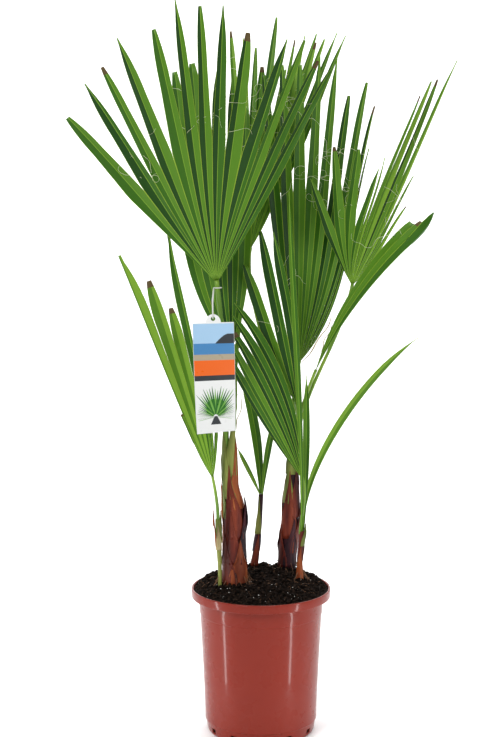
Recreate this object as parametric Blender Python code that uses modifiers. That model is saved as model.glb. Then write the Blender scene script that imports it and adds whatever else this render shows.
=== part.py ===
"""Potted Mexican fan palm: a clump of two young fan palms and three seedlings in a nursery pot.

Metres, +Z up. The origin is the centre of the pot's flat underside, and the front is at -Y.
Leans are degrees from upright as seen from the front, positive towards +X.
"""

import math
import random
from dataclasses import dataclass

import bmesh
import bpy
from mathutils import Vector

# Gap between neighbouring pieces
GAP = 0.0003

# The pot: a moulded nursery pot, 21 cm across its rim
POT_HEIGHT = 0.220
POT_RIM_RADIUS = 0.105
POT_RIM_BAND = 0.013
POT_LIP = 0.003
POT_WALL = 0.0015
POT_NECK_RADIUS = 0.0940
POT_COLLAR_DROP = 0.025
POT_COLLAR_STEP = 0.0009
POT_HEEL_RADIUS = 0.0845
POT_HEEL_HEIGHT = 0.0180
POT_FOOT_RADIUS = 0.0795
POT_FLOOR = 0.0018
POT_SIDES = 40
DRAIN_COUNT = 12
DRAIN_WIDTH = 0.010
DRAIN_HEIGHT = 0.007

# The soil: level with the rim at the edge, and heaped towards the back
SOIL_EDGE_DROP = 0.0016
SOIL_HEAP = 0.0150
SOIL_HEAP_POWER = 5.0
SOIL_BACK_SLOPE = 5.0
SOIL_RUFFLE = 0.0010
SOIL_RING_SHARES = (0.0, 0.25, 0.50, 0.70, 0.85, 0.93, 0.98)
STEM_SINK = 0.004

# The blades: a thin sheet, whole near its hub and split into tapering leaflets beyond
BLADE_THICKNESS = 0.0024
BLADE_START = 0.010
BLADE_WAIST = 0.50
WAIST_SHARE = 0.72
TIP_HALF_WIDTH = 0.0014
PETIOLE_REACH = 0.0058
PETIOLE_STEPS = 7
TUBE_STEPS_ROUND = 1

# The tag: a printed plastic card on an elastic loop
TAG_WIDTH = 0.0595
TAG_HEIGHT = 0.160
TAG_THICKNESS = 0.0010
TAG_TAB_WIDTH = 0.022
TAG_TAB_HEIGHT = 0.012
TAG_HOLE_RADIUS = 0.0032
TAG_TOP_CENTRE = Vector((-0.0697, -0.0640, 0.6270))
TAG_TWIST = 24.0
TAG_ROLL = -1.5
LOOP_RADIUS = 0.0007
LOOP_RING = 0.0060
LOOP_DROP = 0.0070

# The colours: base colour, roughness
PLASTIC_RED = ((0.42, 0.10, 0.065), 0.28)
SOIL_BLACK = ((0.035, 0.026, 0.020), 0.95)
SHEATH_BROWN = ((0.26, 0.09, 0.05), 0.60)
SHEATH_PURPLE = ((0.12, 0.04, 0.04), 0.60)
STALK_GREEN = ((0.22, 0.30, 0.05), 0.45)
LEAF_GREEN = ((0.08, 0.22, 0.03), 0.45)
CARD_WHITE = ((0.80, 0.82, 0.82), 0.35)


@dataclass
class Stem:
    """A stem of close leaf sheaths: its line from the ground up, and its radius at each point."""

    name: str
    line: tuple
    radii: tuple
    colour: tuple


@dataclass
class Fan:
    """A fan blade on its petiole. Each leaflet is (lean of its tip, reach), from left to right."""

    name: str
    foot: tuple
    hub: tuple
    leaflets: tuple
    roots: tuple
    back: float
    sweep: float = 0.0
    cup: float = 0.0
    split: float = 0.5
    curl: float = 2.0
    petiole_radii: tuple = (0.0036, 0.0030)
    petiole_rise: float = 0.35


@dataclass
class Ribbon:
    """A single narrow leaf: the corner points of a smooth line, and its widest half width."""

    name: str
    line: tuple
    half_width: float


STEMS = (
    Stem(
        "stem_left",
        ((-0.0395, -0.015, None), (-0.0395, -0.015, 0.244), (-0.0397, -0.015, 0.260),
         (-0.0405, -0.015, 0.308), (-0.0412, -0.014, 0.348), (-0.0458, -0.013, 0.380),
         (-0.0470, -0.012, 0.418), (-0.0470, -0.012, 0.426)),
        (0.0200, 0.0182, 0.0178, 0.0162, 0.0146, 0.0112, 0.0113, 0.0113),
        SHEATH_BROWN,
    ),
    Stem(
        "stem_right",
        ((0.0408, 0.050, None), (0.0408, 0.050, 0.248), (0.0420, 0.050, 0.270),
         (0.0462, 0.049, 0.310), (0.0462, 0.048, 0.335), (0.0480, 0.046, 0.376),
         (0.0480, 0.045, 0.413)),
        (0.0155, 0.0134, 0.0138, 0.0136, 0.0130, 0.0095, 0.0092),
        SHEATH_PURPLE,
    ),
    Stem(
        "stem_middle_seedling",
        ((-0.0096, 0.052, None), (-0.0096, 0.052, 0.244), (-0.0057, 0.0515, 0.276),
         (-0.0027, 0.051, 0.300), (-0.0012, 0.050, 0.325), (0.0002, 0.049, 0.352)),
        (0.0058, 0.0053, 0.0053, 0.0046, 0.0042, 0.0040),
        SHEATH_PURPLE,
    ),
    Stem(
        "stem_left_seedling",
        ((-0.0615, -0.029, None), (-0.0615, -0.029, 0.238), (-0.0618, -0.030, 0.262),
         (-0.0633, -0.033, 0.300), (-0.0640, -0.034, 0.326), (-0.0640, -0.034, 0.332)),
        (0.0032, 0.0029, 0.0032, 0.0048, 0.0046, 0.0044),
        STALK_GREEN,
    ),
    Stem(
        "stem_right_seedling",
        ((0.0585, -0.004, None), (0.0585, -0.004, 0.244), (0.0582, -0.005, 0.266),
         (0.0605, -0.007, 0.290), (0.0612, -0.008, 0.302), (0.0612, -0.008, 0.308)),
        (0.0052, 0.0046, 0.0046, 0.0048, 0.0056, 0.0058),
        SHEATH_BROWN,
    ),
)


def even_leaflets(count, left, right, side_reach, middle_reach, seed):
    """Leaflets spaced evenly from the left lean to the right one, longest in the middle."""
    draw = random.Random(seed)
    leaflets = []
    for index in range(count):
        share = index / (count - 1)
        bulge = 1.0 - (2.0 * share - 1.0) ** 2
        lean = left + (right - left) * share + draw.uniform(-0.8, 0.8)
        reach = side_reach + (middle_reach - side_reach) * bulge
        leaflets.append((lean, reach * draw.uniform(0.95, 1.05)))
    return tuple(leaflets)


FANS = (
    Fan(
        "left_front",
        foot=(-0.0515, -0.0168), hub=(-0.0644, -0.045, 0.6825),
        leaflets=((-41.4, 0.328), (-32.9, 0.335), (-27.6, 0.357), (-21.6, 0.367), (-13.4, 0.380),
                  (-8.0, 0.395), (-3.1, 0.402), (1.6, 0.385), (7.4, 0.368), (16.4, 0.355),
                  (19.9, 0.379), (24.0, 0.360), (28.1, 0.357)),
        roots=(-43.0, 29.0), back=-0.18, sweep=0.03, cup=0.10, split=0.53,
        petiole_radii=(0.0039, 0.0036),
    ),
    Fan(
        "left_inner",
        foot=(-0.0426, -0.0168), hub=(-0.0433, -0.005, 0.5806),
        leaflets=((-11.7, 0.437), (-8.0, 0.444), (-2.8, 0.417), (0.0, 0.396), (3.4, 0.374)),
        roots=(-38.0, 14.0), back=0.10, split=0.62,
        petiole_radii=(0.0037, 0.0034),
    ),
    Fan(
        "left_high",
        foot=(-0.0426, -0.0076), hub=(-0.0166, 0.050, 0.7258),
        leaflets=((-2.1, 0.283), (1.6, 0.317), (6.6, 0.367), (11.4, 0.289), (12.1, 0.335),
                  (14.5, 0.332), (17.7, 0.341)),
        roots=(-10.0, 30.0), back=0.10,
    ),
    Fan(
        "left_back",
        foot=(-0.0515, -0.0076), hub=(-0.0560, 0.050, 0.6770),
        leaflets=even_leaflets(9, -27.0, 20.0, 0.200, 0.225, 5),
        roots=(-40.0, 32.0), back=1.00, sweep=0.12, cup=0.10,
    ),
    Fan(
        "right_main",
        foot=(0.0476, 0.0450), hub=(0.0571, 0.030, 0.5570),
        leaflets=((-7.1, 0.452), (-3.4, 0.465), (0.1, 0.465), (3.8, 0.458), (7.0, 0.455),
                  (10.4, 0.423), (13.5, 0.449), (16.3, 0.417), (18.0, 0.353)),
        roots=(-14.0, 40.0), back=0.06, split=0.55,
        petiole_radii=(0.0028, 0.0028),
    ),
    Fan(
        "right_inner",
        foot=(0.0456, 0.0393), hub=(0.0537, 0.010, 0.4961),
        leaflets=((-20.5, 0.235), (-12.0, 0.278), (-7.6, 0.262)),
        roots=(-27.0, 2.0), back=-0.10, sweep=-0.04, split=0.42,
        petiole_radii=(0.0027, 0.0026),
    ),
    Fan(
        "right_outer",
        foot=(0.0535, 0.0462), hub=(0.1359, 0.030, 0.6730),
        leaflets=((-21.8, 0.171), (-8.8, 0.218), (1.4, 0.212), (11.6, 0.177), (14.6, 0.195),
                  (18.1, 0.309), (20.3, 0.336), (22.6, 0.344), (24.8, 0.366), (28.3, 0.195),
                  (33.2, 0.149)),
        roots=(-26.0, 44.0), back=-0.05, sweep=0.12, split=0.52,
        petiole_radii=(0.0028, 0.0026),
    ),
    Fan(
        "right_folded",
        foot=(0.0514, 0.0397), hub=(0.0804, 0.010, 0.5459),
        leaflets=((32.6, 0.276), (34.4, 0.284), (36.2, 0.290)),
        roots=(17.0, 23.0), back=-0.15, sweep=-0.10, split=0.80, curl=1.0,
        petiole_radii=(0.0027, 0.0024),
    ),
    Fan(
        "right_high",
        foot=(0.0419, 0.0476), hub=(-0.0135, 0.075, 0.7473),
        leaflets=((-6.0, 0.326), (-2.6, 0.298), (3.3, 0.265), (15.5, 0.274), (17.9, 0.337),
                  (20.5, 0.333), (23.0, 0.331), (25.4, 0.335)),
        roots=(-14.0, 36.0), back=0.15,
        petiole_radii=(0.0028, 0.0024),
    ),
    Fan(
        "right_back",
        foot=(0.0490, 0.0511), hub=(0.0585, 0.090, 0.6000),
        leaflets=even_leaflets(8, -4.0, 10.0, 0.190, 0.255, 8),
        roots=(-10.0, 16.0), back=0.95, sweep=-0.55, cup=0.10,
        petiole_radii=(0.0027, 0.0024),
    ),
    Fan(
        "seedling_right_broad",
        foot=(0.0585, -0.0105), hub=(0.0621, -0.020, 0.3880),
        leaflets=((-30.2, 0.223), (-27.5, 0.240), (-25.0, 0.254), (-22.8, 0.267), (-20.9, 0.282)),
        roots=(-34.0, -3.0), back=-0.03, sweep=0.06, split=0.80, curl=1.0,
        petiole_radii=(0.0021, 0.0020),
    ),
    Fan(
        "seedling_left_fan",
        foot=(-0.0640, -0.0340), hub=(-0.0711, -0.040, 0.3935),
        leaflets=((-25.6, 0.111), (-22.6, 0.355), (-17.6, 0.320), (-13.8, 0.271), (-10.3, 0.363),
                  (-5.6, 0.191), (4.0, 0.080)),
        roots=(-32.0, 10.0), back=0.05, split=0.55,
        petiole_radii=(0.0028, 0.0022),
    ),
)

RIBBONS = (
    Ribbon("seedling_right_tall",
           ((0.0612, -0.0128, 0.3085), (0.0594, -0.0450, 0.5143),
            (0.0450, -0.0376, 0.6529), (0.0390, -0.0500, 0.8159)), 0.0046),
    Ribbon("seedling_right_upright",
           ((0.0634, -0.0080, 0.3085), (0.0693, -0.0078, 0.4211),
            (0.0669, -0.0075, 0.4728), (0.0670, -0.0075, 0.5437)), 0.0052),
    Ribbon("seedling_right_arching",
           ((0.0640, -0.0034, 0.3085), (0.0550, 0.0112, 0.3946),
            (0.1497, -0.0145, 0.5438), (0.2299, -0.0200, 0.6000)), 0.0056),
    Ribbon("seedling_middle_left",
           ((-0.0015, 0.0460, 0.3525), (-0.0102, 0.0422, 0.3756),
            (-0.0254, 0.0413, 0.4037), (-0.0356, 0.0390, 0.4256)), 0.0034),
    Ribbon("seedling_middle_centre",
           ((0.0002, 0.0500, 0.3525), (-0.0011, 0.0523, 0.4076),
            (-0.0086, 0.0607, 0.4792), (-0.0318, 0.0660, 0.5388)), 0.0075),
    Ribbon("seedling_middle_right",
           ((0.0022, 0.0455, 0.3525), (0.0081, 0.0418, 0.4138),
            (0.0128, 0.0425, 0.4306), (0.0214, 0.0410, 0.4761)), 0.005),
)


def clear_scene():
    for obj in list(bpy.data.objects):
        bpy.data.objects.remove(obj, do_unlink=True)


def make_collection(name):
    collection = bpy.data.collections.new(name)
    bpy.context.scene.collection.children.link(collection)
    return collection


clear_scene()
PLANT = make_collection("potted_mexican_fan_palm")
CUTTERS = make_collection("cutters")


def give_material(obj, finish):
    """Give the object its own Principled material."""
    colour, roughness = finish
    material = bpy.data.materials.new(obj.name)
    material.use_nodes = True
    shader = material.node_tree.nodes["Principled BSDF"]
    shader.inputs["Base Color"].default_value = (*colour, 1.0)
    shader.inputs["Roughness"].default_value = roughness
    shader.inputs["Metallic"].default_value = 0.0
    material.diffuse_color = (*colour, 1.0)
    obj.data.materials.append(material)


def add_object(name, data, finish):
    obj = bpy.data.objects.new(name, data)
    PLANT.objects.link(obj)
    give_material(obj, finish)
    return obj


def add_cutter(name, radius, low, high, place):
    """A round cutter that stands from the low height to the high one."""
    mesh = bpy.data.meshes.new(name)
    shape = bmesh.new()
    bmesh.ops.create_cone(shape, cap_ends=True, segments=24, radius1=radius, radius2=radius,
                          depth=high - low)
    shape.to_mesh(mesh)
    shape.free()
    cutter = bpy.data.objects.new(name, mesh)
    cutter.location = (place[0], place[1], (low + high) / 2.0)
    cutter.hide_render = True
    cutter.display_type = "WIRE"
    CUTTERS.objects.link(cutter)
    return cutter


def cut(obj, cutter):
    modifier = obj.modifiers.new("cut_" + cutter.name, "BOOLEAN")
    modifier.operation = "DIFFERENCE"
    modifier.solver = "EXACT"
    modifier.object = cutter


def turn_profile(name, profile, finish, closed):
    """Turn a profile of (radius, height) about Z with a Screw modifier."""
    mesh = bpy.data.meshes.new(name)
    points = [(radius, 0.0, height) for radius, height in profile]
    count = len(points)
    edges = [(index, index + 1) for index in range(count - 1)]
    if closed:
        edges.append((count - 1, 0))
    mesh.from_pydata(points, edges, [])
    obj = add_object(name, mesh, finish)
    screw = obj.modifiers.new("turn", "SCREW")
    screw.axis = "Z"
    screw.steps = POT_SIDES
    screw.render_steps = POT_SIDES
    screw.use_merge_vertices = True
    screw.merge_threshold = 0.0001
    screw.use_smooth_shade = True
    return obj


def as_mesh(obj):
    """Swap the object for one whose mesh is its evaluated shape, with loose caps welded."""
    bpy.context.view_layer.update()
    evaluated = obj.evaluated_get(bpy.context.evaluated_depsgraph_get())
    mesh = bpy.data.meshes.new_from_object(evaluated)
    name = obj.name
    matrix = obj.matrix_world.copy()
    bpy.data.objects.remove(obj, do_unlink=True)
    shape = bmesh.new()
    shape.from_mesh(mesh)
    bmesh.ops.remove_doubles(shape, verts=shape.verts, dist=0.00001)
    shape.to_mesh(mesh)
    shape.free()
    solid = bpy.data.objects.new(name, mesh)
    solid.matrix_world = matrix
    PLANT.objects.link(solid)
    return solid


# The pot

def collar_height():
    return POT_HEIGHT - POT_RIM_BAND - POT_COLLAR_DROP


def wall_radius(height):
    """Outer radius of the wall, which tapers from the neck to the heel."""
    top = POT_HEIGHT - POT_RIM_BAND
    share = (height - POT_HEEL_HEIGHT) / (top - POT_HEEL_HEIGHT)
    radius = POT_HEEL_RADIUS + (POT_NECK_RADIUS - POT_HEEL_RADIUS) * share
    return radius if height > collar_height() else radius - POT_COLLAR_STEP * min(1.0, share * 4.0)


def cavity_profile(gap):
    """The inside of the pot from the rim to the floor, drawn in by a gap."""
    band_foot = POT_HEIGHT - POT_RIM_BAND
    return [
        (POT_RIM_RADIUS - POT_LIP - gap, POT_HEIGHT - 0.0010),
        (POT_RIM_RADIUS - POT_LIP - 0.0006 - gap, POT_HEIGHT - 0.0040),
        (wall_radius(band_foot) + 0.0030 - gap, band_foot + 0.0020),
        (wall_radius(band_foot) - POT_WALL - gap, band_foot - 0.0060),
        (wall_radius(POT_HEEL_HEIGHT) - POT_WALL - gap, POT_HEEL_HEIGHT + 0.0005),
        (POT_FOOT_RADIUS - POT_WALL - gap, POT_FLOOR + gap),
        (0.0, POT_FLOOR + gap),
    ]


def make_pot():
    band_foot = POT_HEIGHT - POT_RIM_BAND
    collar = collar_height()
    outer = [
        (POT_RIM_RADIUS - POT_LIP + 0.0012, POT_HEIGHT),
        (POT_RIM_RADIUS - 0.0008, POT_HEIGHT - 0.0003),
        (POT_RIM_RADIUS, POT_HEIGHT - 0.0020),
        (POT_RIM_RADIUS - 0.0004, band_foot + 0.0010),
        (POT_RIM_RADIUS - 0.0014, band_foot),
        (wall_radius(band_foot) + 0.0004, band_foot),
        (wall_radius(band_foot), band_foot - 0.0015),
        (wall_radius(collar + 0.0001), collar + 0.0004),
        (wall_radius(collar - 0.0001), collar - 0.0006),
        (wall_radius(POT_HEEL_HEIGHT) + 0.0004, POT_HEEL_HEIGHT + 0.0050),
        (wall_radius(POT_HEEL_HEIGHT) - 0.0006, POT_HEEL_HEIGHT - 0.0040),
        (POT_FOOT_RADIUS + 0.0016, 0.0030),
        (POT_FOOT_RADIUS, 0.0),
        (0.0, 0.0),
    ]
    inner = cavity_profile(0.0)
    pot = turn_profile("pot", outer + inner[::-1], PLASTIC_RED, True)
    for index in range(DRAIN_COUNT):
        turn = math.tau * index / DRAIN_COUNT
        mesh = bpy.data.meshes.new("drain")
        shape = bmesh.new()
        bmesh.ops.create_cube(shape, size=1.0)
        shape.to_mesh(mesh)
        shape.free()
        cutter = bpy.data.objects.new(f"drain_{index:02d}", mesh)
        cutter.scale = (0.016, DRAIN_WIDTH, DRAIN_HEIGHT)
        cutter.rotation_euler = (0.0, 0.0, turn)
        reach = POT_HEEL_RADIUS + 0.0010
        height = POT_FLOOR + 0.0030 + DRAIN_HEIGHT / 2.0
        cutter.location = (reach * math.cos(turn), reach * math.sin(turn), height)
        cutter.hide_render = True
        cutter.display_type = "WIRE"
        CUTTERS.objects.link(cutter)
        cut(pot, cutter)
    return pot


# The soil

def soil_height(x, y):
    """Height of the soil: level at the rim and heaped towards the back."""
    edge = POT_RIM_RADIUS - POT_LIP
    share = min(1.0, math.hypot(x, y) / edge)
    heap = SOIL_HEAP * (1.0 - share**SOIL_HEAP_POWER) * (1.0 + SOIL_BACK_SLOPE * y)
    ruffle = SOIL_RUFFLE * math.sin(x * 170.0 + 1.3) * math.cos(y * 150.0 - 0.4) * (1.0 - share)
    return POT_HEIGHT - SOIL_EDGE_DROP + heap + ruffle


def make_soil(stems):
    inner = cavity_profile(GAP)
    edge_radius = inner[1][0] + 0.0002
    top = [(share * edge_radius, POT_HEIGHT) for share in SOIL_RING_SHARES]
    profile = top + [(edge_radius, POT_HEIGHT - SOIL_EDGE_DROP)] + inner[2:]
    soil = as_mesh(turn_profile("soil", profile, SOIL_BLACK, False))
    for vertex in soil.data.vertices:
        place = vertex.co
        if place.z > POT_HEIGHT - SOIL_EDGE_DROP + 0.0001:
            place.z = soil_height(place.x, place.y)
    for stem in stems:
        x, y = stem.line[0][:2]
        ground = ground_height(stem)
        cutter = add_cutter("pocket_" + stem.name, stem.radii[0] + 2 * GAP, ground - GAP,
                            POT_HEIGHT + 0.05, (x, y))
        cut(soil, cutter)
    return soil


def ground_height(stem):
    x, y = stem.line[0][:2]
    return soil_height(x, y) - STEM_SINK


# The stems and petioles

def tube(name, points, radii, finish, steps_round):
    """A round tapering tube along points, with flat ends."""
    curve = bpy.data.curves.new(name, "CURVE")
    curve.dimensions = "3D"
    curve.bevel_depth = 1.0
    curve.bevel_resolution = steps_round
    curve.use_fill_caps = True
    curve.twist_mode = "MINIMUM"
    spline = curve.splines.new("POLY")
    spline.points.add(len(points) - 1)
    for spot, place, radius in zip(spline.points, points, radii):
        spot.co = (*place, 1.0)
        spot.radius = radius
    spline.use_smooth = True
    return add_object(name, curve, finish)


def make_stem(stem):
    points = [Vector((x, y, ground_height(stem) if z is None else z)) for x, y, z in stem.line]
    tube(stem.name, points, stem.radii, stem.colour, 3)


def bezier(corners, share):
    """Point on the smooth curve of four corner points."""
    a, b, c, d = (Vector(corner) for corner in corners)
    rest = 1.0 - share
    return a * rest**3 + b * 3 * rest**2 * share + c * 3 * rest * share**2 + d * share**3


def leaflet_side(fan, index):
    """Place of the leaflet across the fan, from -1 at the left to 1 at the right."""
    return 2.0 * index / (len(fan.leaflets) - 1) - 1.0


def leaflet_point(fan, index, distance):
    """Point on the leaflet's middle line at a distance from the hub."""
    lean, reach = fan.leaflets[index]
    side = leaflet_side(fan, index)
    root = fan.roots[0] + (fan.roots[1] - fan.roots[0]) * (side + 1.0) / 2.0
    short = 1.0 - min(1.0, distance / reach)
    angle = math.radians(lean + (root - lean) * short**fan.curl)
    back = fan.back + fan.sweep * side + fan.cup * side * side
    return Vector(fan.hub) + distance * Vector((math.sin(angle), back, math.cos(angle)))


def fold_point(fan, fold, distance):
    """Point on the fold between two leaflets, or on the fan's outer margin."""
    last = len(fan.leaflets) - 1
    if fold == 0:
        first = leaflet_point(fan, 0, distance)
        return first + (first - leaflet_point(fan, 1, distance)) / 2.0
    if fold == last + 1:
        first = leaflet_point(fan, last, distance)
        return first + (first - leaflet_point(fan, last - 1, distance)) / 2.0
    return (leaflet_point(fan, fold - 1, distance) + leaflet_point(fan, fold, distance)) / 2.0


def split_distance(fan, fold):
    """Distance from the hub at which the leaflets beside a fold part."""
    reaches = [reach for _, reach in fan.leaflets[max(0, fold - 1):fold + 1]]
    return fan.split * min(reaches)


def fan_axis(fan):
    """Direction in which the fan leaves its petiole."""
    middle = (len(fan.leaflets) - 1) // 2
    near = leaflet_point(fan, middle, 0.02) - Vector(fan.hub)
    other = leaflet_point(fan, len(fan.leaflets) - 1 - middle, 0.02) - Vector(fan.hub)
    return (near + other).normalized()


def thicken(obj):
    solidify = obj.modifiers.new("thickness", "SOLIDIFY")
    solidify.thickness = BLADE_THICKNESS
    solidify.offset = 0.0


def make_blade(fan):
    count = len(fan.leaflets)
    shape = bmesh.new()
    inner = [shape.verts.new(fold_point(fan, fold, BLADE_START)) for fold in range(count + 1)]
    sinus = [shape.verts.new(fold_point(fan, fold, split_distance(fan, fold)))
             for fold in range(count + 1)]
    for index in range(count):
        reach = fan.leaflets[index][1]
        chains = []
        for fold in (index, index + 1):
            start = split_distance(fan, fold)
            across = fold_point(fan, fold, start) - leaflet_point(fan, index, start)
            waist = start + BLADE_WAIST * (reach - start)
            middle = leaflet_point(fan, index, waist) + across * WAIST_SHARE
            tip = leaflet_point(fan, index, reach) + across.normalized() * TIP_HALF_WIDTH
            chains.append((inner[fold], sinus[fold], shape.verts.new(middle),
                           shape.verts.new(tip)))
        left, right = chains
        for step in range(3):
            shape.faces.new((left[step], right[step], right[step + 1], left[step + 1]))
    bmesh.ops.recalc_face_normals(shape, faces=shape.faces)
    mesh = bpy.data.meshes.new("blade_" + fan.name)
    shape.to_mesh(mesh)
    shape.free()
    thicken(add_object("blade_" + fan.name, mesh, LEAF_GREEN))


def make_petiole(fan, top):
    """The stalk from the top of the stem to the hub of the fan."""
    foot = Vector((*fan.foot, top + GAP))
    axis = fan_axis(fan)
    end = Vector(fan.hub) + axis * PETIOLE_REACH
    span = (end - foot).length
    up = Vector((0.0, 0.0, 1.0))
    corners = (foot, foot + up * span * fan.petiole_rise, end - axis * span * 0.35, end)
    points = [bezier(corners, step / PETIOLE_STEPS) for step in range(PETIOLE_STEPS + 1)]
    points.insert(1, foot + up * 0.004)
    low, high = fan.petiole_radii
    radii = [low + (high - low) * index / (len(points) - 1) for index in range(len(points))]
    tube("petiole_" + fan.name, points, radii, STALK_GREEN, TUBE_STEPS_ROUND)


def make_ribbon(ribbon):
    """A narrow leaf: slim at its foot, widest past the middle, pointed at its tip."""
    steps = 6
    shape = bmesh.new()
    rows = []
    for step in range(steps + 1):
        share = step / steps
        place = bezier(ribbon.line, share)
        ahead = bezier(ribbon.line, min(1.0, share + 0.05))
        behind = bezier(ribbon.line, max(0.0, share - 0.05))
        along = (ahead - behind).normalized()
        across = along.cross(Vector((0.0, 1.0, 0.0))).normalized()
        width = 0.28 + 0.72 * math.sin(math.pi * min(1.0, share * 0.9))
        half = ribbon.half_width * width if step < steps else TIP_HALF_WIDTH
        rows.append((shape.verts.new(place - across * half), shape.verts.new(place + across * half)))
    for low, high in zip(rows, rows[1:]):
        shape.faces.new((low[0], low[1], high[1], high[0]))
    bmesh.ops.recalc_face_normals(shape, faces=shape.faces)
    mesh = bpy.data.meshes.new("blade_" + ribbon.name)
    shape.to_mesh(mesh)
    shape.free()
    thicken(add_object("blade_" + ribbon.name, mesh, LEAF_GREEN))


# The tag and its loop

def tag_point(across, down):
    """Point on the card's middle sheet: across from its middle, down from its top edge."""
    twist = math.radians(TAG_TWIST) * max(0.0, down / TAG_HEIGHT) ** 1.5
    roll = math.radians(TAG_ROLL)
    x = across * math.cos(twist)
    y = across * math.sin(twist)
    return TAG_TOP_CENTRE + Vector((
        x * math.cos(roll) - down * math.sin(roll), y, -down * math.cos(roll) - x * math.sin(roll),
    ))


def make_tag():
    half = TAG_WIDTH / 2.0
    columns = (-half, -TAG_TAB_WIDTH / 2.0, TAG_TAB_WIDTH / 2.0, half)
    rows = [TAG_HEIGHT * step / 8.0 for step in range(9)]
    shape = bmesh.new()
    grid = [[shape.verts.new(tag_point(across, down)) for across in columns] for down in rows]
    for upper, lower in zip(grid, grid[1:]):
        for column in range(3):
            shape.faces.new((upper[column], lower[column], lower[column + 1], upper[column + 1]))
    middle = Vector((0.0, -TAG_TAB_HEIGHT * 0.45, 0.0))
    rim = []
    hole = []
    for step in range(13):
        turn = math.pi * (1.0 - step / 12.0)
        across = TAG_TAB_WIDTH / 2.0 * math.cos(turn)
        rim.append(shape.verts.new(tag_point(across, -TAG_TAB_HEIGHT * math.sin(turn))))
    rim[0] = merge_into(shape, rim[0], grid[0][1])
    rim[-1] = merge_into(shape, rim[-1], grid[0][2])
    for step in range(24):
        turn = math.pi - math.tau * step / 24
        hole.append(shape.verts.new(tag_point(TAG_HOLE_RADIUS * math.cos(turn),
                                              middle.y - TAG_HOLE_RADIUS * math.sin(turn))))
    for step in range(12):
        shape.faces.new((rim[step], rim[step + 1], hole[step + 1], hole[step]))
    lower = [hole[12 + step] for step in range(12)] + [hole[0]]
    shape.faces.new([rim[-1], rim[0]] + lower[::-1])
    bmesh.ops.recalc_face_normals(shape, faces=shape.faces)
    mesh = bpy.data.meshes.new("care_tag")
    shape.to_mesh(mesh)
    shape.free()
    tag = add_object("care_tag", mesh, CARD_WHITE)
    solidify = tag.modifiers.new("thickness", "SOLIDIFY")
    solidify.thickness = TAG_THICKNESS
    solidify.offset = 0.0


def make_tag_loop():
    """The elastic: through the hole, up past the stalk's left, round its front and back."""
    hole = tag_point(0.0, -TAG_TAB_HEIGHT * 0.45)
    stalk = Vector(FANS[0].hub) - fan_axis(FANS[0]) * LOOP_DROP
    points = [hole, hole + Vector((-0.0004, -0.0028, 0.0026)),
              hole + Vector((-0.0012, 0.0040, 0.0270))]
    for turn in (195.0, 240.0, 285.0, 330.0, 15.0, 60.0, 105.0, 150.0):
        angle = math.radians(turn)
        points.append(stalk + Vector((LOOP_RING * math.cos(angle), LOOP_RING * math.sin(angle), 0.0)))
    points += [hole + Vector((-0.0004, 0.0120, 0.0230)), hole + Vector((0.0, 0.0028, 0.0030))]
    loop = tube("tag_loop", points, [LOOP_RADIUS] * len(points), SOIL_BLACK, 1)
    loop.data.splines[0].use_cyclic_u = True
    loop.data.use_fill_caps = False


def merge_into(shape, loose, kept):
    shape.verts.remove(loose)
    return kept


def main():
    make_pot()
    make_soil(STEMS)
    for stem in STEMS:
        make_stem(stem)
    tops = {stem.name: stem.line[-1][2] for stem in STEMS}
    for fan in FANS:
        make_blade(fan)
        make_petiole(fan, tops[stem_of(fan)])
    for ribbon in RIBBONS:
        make_ribbon(ribbon)
    make_tag()
    make_tag_loop()


def stem_of(fan):
    """The stem that a fan grows from, told by the first word or two of its name."""
    if fan.name.startswith("seedling_right"):
        return "stem_right_seedling"
    if fan.name.startswith("seedling_left"):
        return "stem_left_seedling"
    return "stem_left" if fan.name.startswith("left") else "stem_right"


main()
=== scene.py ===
import math
import random
from dataclasses import dataclass

import bmesh
import bpy
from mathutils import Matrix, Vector, noise


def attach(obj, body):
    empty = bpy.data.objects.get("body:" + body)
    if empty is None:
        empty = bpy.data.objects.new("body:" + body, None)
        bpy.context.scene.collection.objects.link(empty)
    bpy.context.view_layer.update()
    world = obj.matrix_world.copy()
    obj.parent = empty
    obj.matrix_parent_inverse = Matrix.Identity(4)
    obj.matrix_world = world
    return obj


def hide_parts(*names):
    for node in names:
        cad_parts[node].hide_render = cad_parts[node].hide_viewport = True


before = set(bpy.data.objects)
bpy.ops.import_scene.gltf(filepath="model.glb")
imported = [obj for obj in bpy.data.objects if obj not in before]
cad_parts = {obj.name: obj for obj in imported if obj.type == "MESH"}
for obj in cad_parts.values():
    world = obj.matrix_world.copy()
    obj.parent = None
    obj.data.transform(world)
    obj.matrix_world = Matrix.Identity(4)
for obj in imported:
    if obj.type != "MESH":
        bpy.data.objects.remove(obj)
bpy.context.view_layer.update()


# The studio: a pale floor that runs up into a pale wall behind the plant.
# Broad soft light comes from the front, both sides and above. Two narrow upright strips near
# the pot, which the camera doesn't see, leave a bright line on each side of it.

def finish_nodes(name, colour, roughness):
    """A Principled material with a node tree: itself, its tree and its shader."""
    material = bpy.data.materials.new(name)
    material.use_nodes = True
    tree = material.node_tree
    shader = tree.nodes["Principled BSDF"]
    shader.inputs["Base Color"].default_value = (*colour, 1.0)
    shader.inputs["Roughness"].default_value = roughness
    return material, tree, shader


NUMBER, VECTOR = "NodeSocketFloat", "NodeSocketVector"


def new_group(name, inputs, outputs):
    """An empty node group with named sockets: itself, its inlet and its outlet."""
    group = bpy.data.node_groups.new(name, "ShaderNodeTree")
    for way, sockets in (("INPUT", inputs), ("OUTPUT", outputs)):
        for socket_name, kind in sockets.items():
            group.interface.new_socket(socket_name, in_out=way, socket_type=kind)
    return group, group.nodes.new("NodeGroupInput"), group.nodes.new("NodeGroupOutput")


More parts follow.
